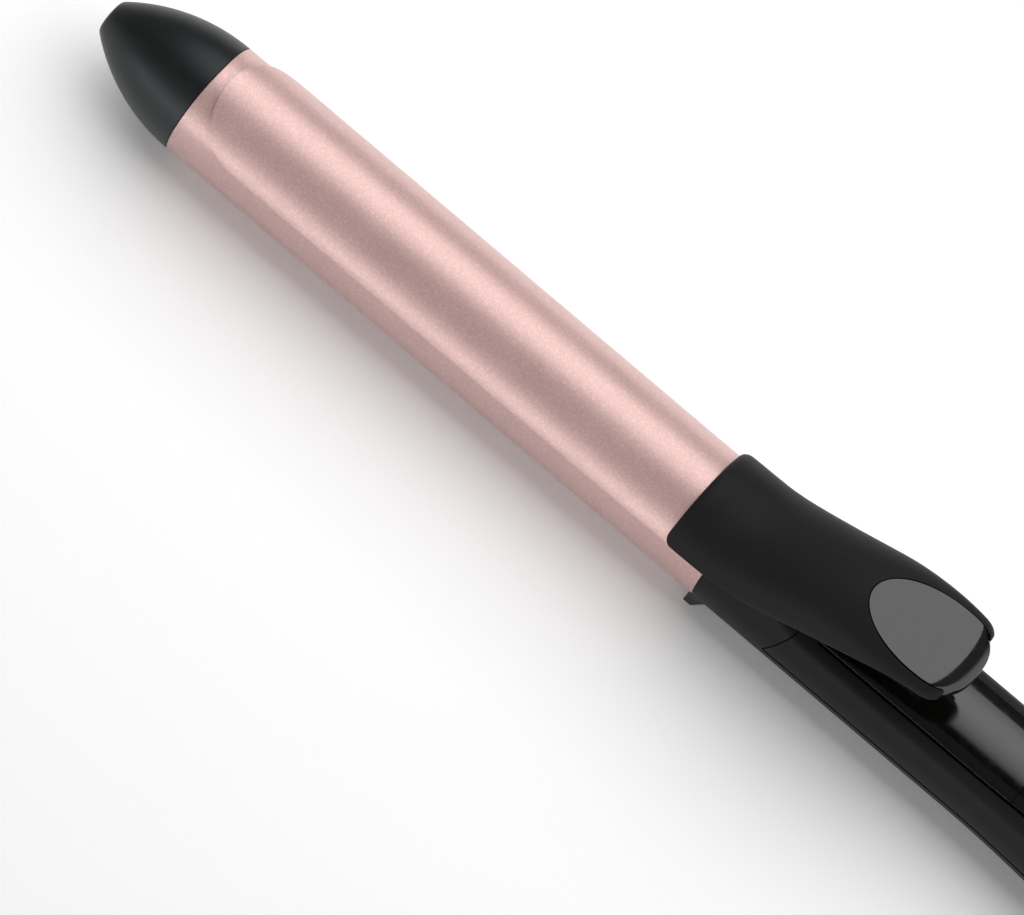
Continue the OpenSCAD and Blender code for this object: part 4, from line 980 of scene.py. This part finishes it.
def reveal(s):
    # The shadow gap under the parting line: a strip taken off the lower shell's upper edge
    step, outside = 4, 2
    xs = [s["seam"] + 0.1 + k * step for k in range(32)]
    low, high, depth = s["parting"] - s["revealHeight"], s["parting"] + 0.4, -s["revealDepth"]
    # Corners of the strip: z, and reach past the skin
    section = [(low, depth), (low, outside), (high, outside), (high, depth), (low, depth)]
    strips = bmesh.new()
    for side in (1, -1):
        def place(row, column):
            z, past = section[column]
            turn = math.acos(clamped((z + s["drop"]) / handleRadius(xs[row]) * 0.5 + 0.5) * 2 - 1)
            return xs[row], side * (onHandle(xs[row], turn)[1] + past), z

        strip = sheetOf(len(xs) - 1, len(section) - 1, place)
        bmesh.ops.holes_fill(strip, edges=[edge for edge in strip.edges if edge.is_boundary])
        gather(strips, strip)
    return strips


def makeLowerShell(s):
    shell = drawPiece("lowerShell", casing(s), "shell", sharp=30)
    # The foot's walls come straight down from the casing's widest line
    lean, rise = math.tan(math.radians(s["frontTilt"])), s["footTop"]
    soleX = s["front"] + floorZ * lean
    heelX = soleX + s["footSole"]
    wedge = prism([(soleX - 1, floorZ), (heelX, floorZ),
                   (heelX + (rise - floorZ) / math.tan(math.radians(s["heel"])), rise),
                   (s["front"] + rise * lean - 1, rise)], -1, 1, True)
    for vertex in wedge.verts:
        share = (vertex.co.z - floorZ) / (rise - floorZ)
        vertex.co.y *= between(s["footWidth"] / 2, s["radius"] - 0.06, share)
    foot = drawPiece("foot", wedge, "shell")
    bore, boreFrom, boreTo = s["radius"] - s["wall"] + 0.4, s["front"] - 10, s["front"] + 30
    carve(foot, turnedFrom([(boreFrom, 0), (boreFrom, bore), (boreTo, bore), (boreTo, 0)], 96, s["drop"]))
    carve(shell, foot, "UNION")
    carve(shell, frontTool(s))
    carve(shell, upperShare(s, 0))
    carve(shell, block((boreFrom, -s["notchHalf"], 0), (s["notchEnd"], s["notchHalf"], 30)))
    carve(shell, reveal(s))
    for x, seat in s["screws"]:
        carve(shell, upright(x, s["screwHole"], -30, 0))
        carve(shell, upright(x, s["screwHead"], -30, seat))
    soften(shell, s["edge"], 2)
    assemble(shell, "lower_shell", "handle")


def buttonHoles(s):
    holes = [(s[name][0], s[name][1] + s["gap"]) for name in ("minus", "plus", "power")]
    return holes + [(x, s["lightRadius"] + s["lightGap"]) for x in s["lights"]]


def makeUpperShell(s, panels, buttons):
    shell = drawPiece("upperShell", casing(s), "shell", sharp=30)
    carve(shell, upperShare(s, s["seamGap"]), "INTERSECT")
    half = panels["width"] / 2

    rows, columns = panels["wellRows"], panels["wellColumns"]

    def wellFloor(row, column):
        x = between(panels["start"], panels["end"], row / rows)
        return onDeck(x, between(-half, half, column / columns), panels["proud"] - panels["thick"])

    well = sheetOf(rows, columns, wellFloor)
    lifted = bmesh.ops.extrude_face_region(well, geom=well.faces[:])
    for part in lifted["geom"]:
        if isinstance(part, bmesh.types.BMVert):
            part.co.z = toolTop
    carve(shell, well)
    for x, radius in buttonHoles(buttons):
        carve(shell, upright(x, radius, 3, toolTop))
    soften(shell, s["edge"], 2)
    assemble(shell, "upper_shell", "handle")


def makePanel(name, node, start, end, s, holes):
    half = s["width"] / 2 - s["gap"]
    rows, columns = max(12, round((end - start) / 2)), s["columns"]

    def skin(lift):
        def place(row, column):
            y = half * math.sin(math.radians(90 * (column / columns * 2 - 1)))
            return onDeck(between(start, end, row / rows), y, lift)
        return sheetOf(rows, columns, place)

    panel = drawPiece(name, joinAtRims(skin(s["proud"]), skin(s["proud"] - s["thick"])), "gloss")
    for x, radius in holes:
        carve(panel, upright(x, radius, 3, toolTop))
    soften(panel, s["edge"])
    assemble(panel, node, "handle")


makeLowerShell(handleSizes)
makeUpperShell(handleSizes, panelSizes, buttonSizes)
panelGap = panelSizes["endGap"]
makePanel("topPanel", "top_panel", panelSizes["start"] + panelGap, panelSizes["split"], panelSizes, [])
makePanel("controlPanel", "control_panel", panelSizes["split"] + 2 * panelGap, panelSizes["end"] - panelGap,
          panelSizes, buttonHoles(buttonSizes))


# Buttons: dished caps with a raised mark, each on its own body

def makeButton(name, s, marks):
    x, radius = s[name]
    low, high = placeOf(name + "_button")
    top, stem, flange = high.z - s["sunk"], s["stem"], radius + s["flange"]
    shoulder = crownRadius(x) - s["deckDepth"] - handleSizes["crownAxis"]
    profile = [(0, low.z), (stem, low.z), (stem, shoulder - s["flangeThick"]),
               (flange, shoulder - s["flangeThick"]), (flange, shoulder), (radius, shoulder),
               (radius, top - s["rim"])]
    for a in (math.radians(18 * k) for k in range(1, 6)):
        profile.append((radius - s["rim"] * (1 - math.cos(a)), top - s["rim"] * (1 - math.sin(a))))
    for share in (k / s["dishRings"] for k in range(s["dishRings"] - 2, -1, -1)):
        profile.append((radius * share, top - s["dish"] * (1 - share ** 2)))
    button = drawPiece(name + "Button", turnedUp(profile, x), "gloss", sharp=42)
    dishFloor = top - s["dish"]
    below, above = dishFloor - s["markRoot"], dishFloor + s["dish"] * s["markRise"]
    for length, width in marks:
        mark = block((x - length / 2, -width / 2, below), (x + length / 2, width / 2, above))
        carve(button, mark, "UNION")
    assemble(button, name + "_button", name + "_button")


makeButton("minus", buttonSizes, [(0.55, 2.6)])
makeButton("plus", buttonSizes, [(0.55, 2.6), (2.6, 0.55)])
makeButton("power", buttonSizes, [(0.6, 2.2)])


# Lights: three small lenses between the two step buttons

def makeLenses(s):
    low, high = placeOf("indicator_lenses")
    lenses = bmesh.new()
    r, dome = s["lightRadius"], s["lightDome"]
    for x in s["lights"]:
        profile = [(0, low.z), (r, low.z), (r, high.z - dome)]
        for a in (math.radians(18 * k) for k in range(1, 5)):
            profile.append((r * math.cos(a), high.z - dome * (1 - math.sin(a))))
        profile.append((0, high.z))
        gather(lenses, turnedUp(profile, x, 36))
    assemble(drawPiece("indicatorLenses", lenses, "lens", sharp=50), "indicator_lenses", "handle")


makeLenses(buttonSizes)


# Tail: the ring that closes the casing, and the swivel that the cord enters by

tailSizes = {
    "ringOut": 1.5, "ringIn": 6.4, "bore": 7.55, "seat": 9.9, "fit": 0.02,
    "ringEdge": [(0.5, 0.45), (0.9, 0.6), (1.25, 0.95), (1.45, 1.6), (1.5, 2.6)],   # out, inset
    "boreEdge": 0.3, "claspStep": 0.25, "lipStep": 0.12,
    "swivel": 7.5, "out": 10, "cordBore": 3.1, "cordDepth": 12, "grooves": 3, "grooveDepth": 0.35,
    "stem": 4.6, "stemLength": 10.3, "wireBore": 1.8, "flange": 1.4, "flangeThick": 2, "flangeGap": 0.3,
    "dome": 9, "domeSteps": 60, "groovesIn": 0.6, "groovesRun": 6.6, "mouthEdge": 0.35,
}


def makeTailRing(s, handle):
    tail, front = handle["tail"], handle["tail"] - handle["clasp"] + 0.1
    inside, face, clasp = tail - s["ringIn"], tail + s["ringOut"], handle["claspRadius"] + s["fit"]
    sections = [roundAt(inside, s["bore"]), roundAt(inside, s["seat"]), roundAt(tail + s["fit"], s["seat"]),
                roundAt(tail + s["fit"], clasp), roundAt(front, clasp)]
    sections += [skinAt(min(front + s["claspStep"] * k, tail)) for k in range(11)]
    sections += [skinAt(tail + s["fit"] + s["lipStep"] * k, 0, tail) for k in range(1, 4)]
    sections += [skinAt(tail + out, inset, tail) for out, inset in s["ringEdge"]]
    sections += [roundAt(face, s["bore"] + s["boreEdge"]), roundAt(face - s["boreEdge"], s["bore"]),
                 roundAt(inside, s["bore"])]
    assemble(drawPiece("tailRing", wrapped(sections, 120), "ring", sharp=35), "tail_ring", "handle")


def makeSwivel(s, handle):
    # Stem inside, a flange behind the ring, then a grooved dome with the cord's bore
    body, bore, wire = s["swivel"], s["cordBore"], s["wireBore"]
    out, inside = handle["tail"] + s["ringOut"] + s["out"], handle["tail"] - s["ringIn"] - s["flangeGap"]
    domeFrom = out - s["dome"]
    flange, stemEnd = inside - s["flangeThick"], inside - s["flangeThick"] - s["stemLength"]
    profile = [(stemEnd, wire), (stemEnd, s["stem"]), (flange, s["stem"]), (flange, body + s["flange"]),
               (inside, body + s["flange"]), (inside, body), (domeFrom, body)]
    steps = s["domeSteps"]
    for t in (math.radians(90 * k / steps) for k in range(1, steps + 1)):
        x = domeFrom + s["dome"] * math.sin(t)
        r = body - (body - bore - wire) * (1 - math.cos(t))
        share = (x - domeFrom - s["groovesIn"]) / s["groovesRun"]
        if 0 < share < 1:
            r -= s["grooveDepth"] * max(0, math.sin(share * s["grooves"] * math.tau - math.pi / 2)) ** 2
        profile.append((x, r))
    lip, mouth, shelf = profile.pop()[1], s["mouthEdge"], out - s["cordDepth"]
    profile += [(out - 0.2, lip), (out, lip - 0.3), (out, bore + mouth), (out - mouth, bore), (shelf, bore),
                (shelf, wire), (stemEnd, wire)]
    swivel = drawPiece("cordSwivel", turnedFrom(profile, 96, handle["drop"]), "ring", sharp=35)
    assemble(swivel, "cord_swivel", "swivel")


makeTailRing(tailSizes, handleSizes)
makeSwivel(tailSizes, handleSizes)
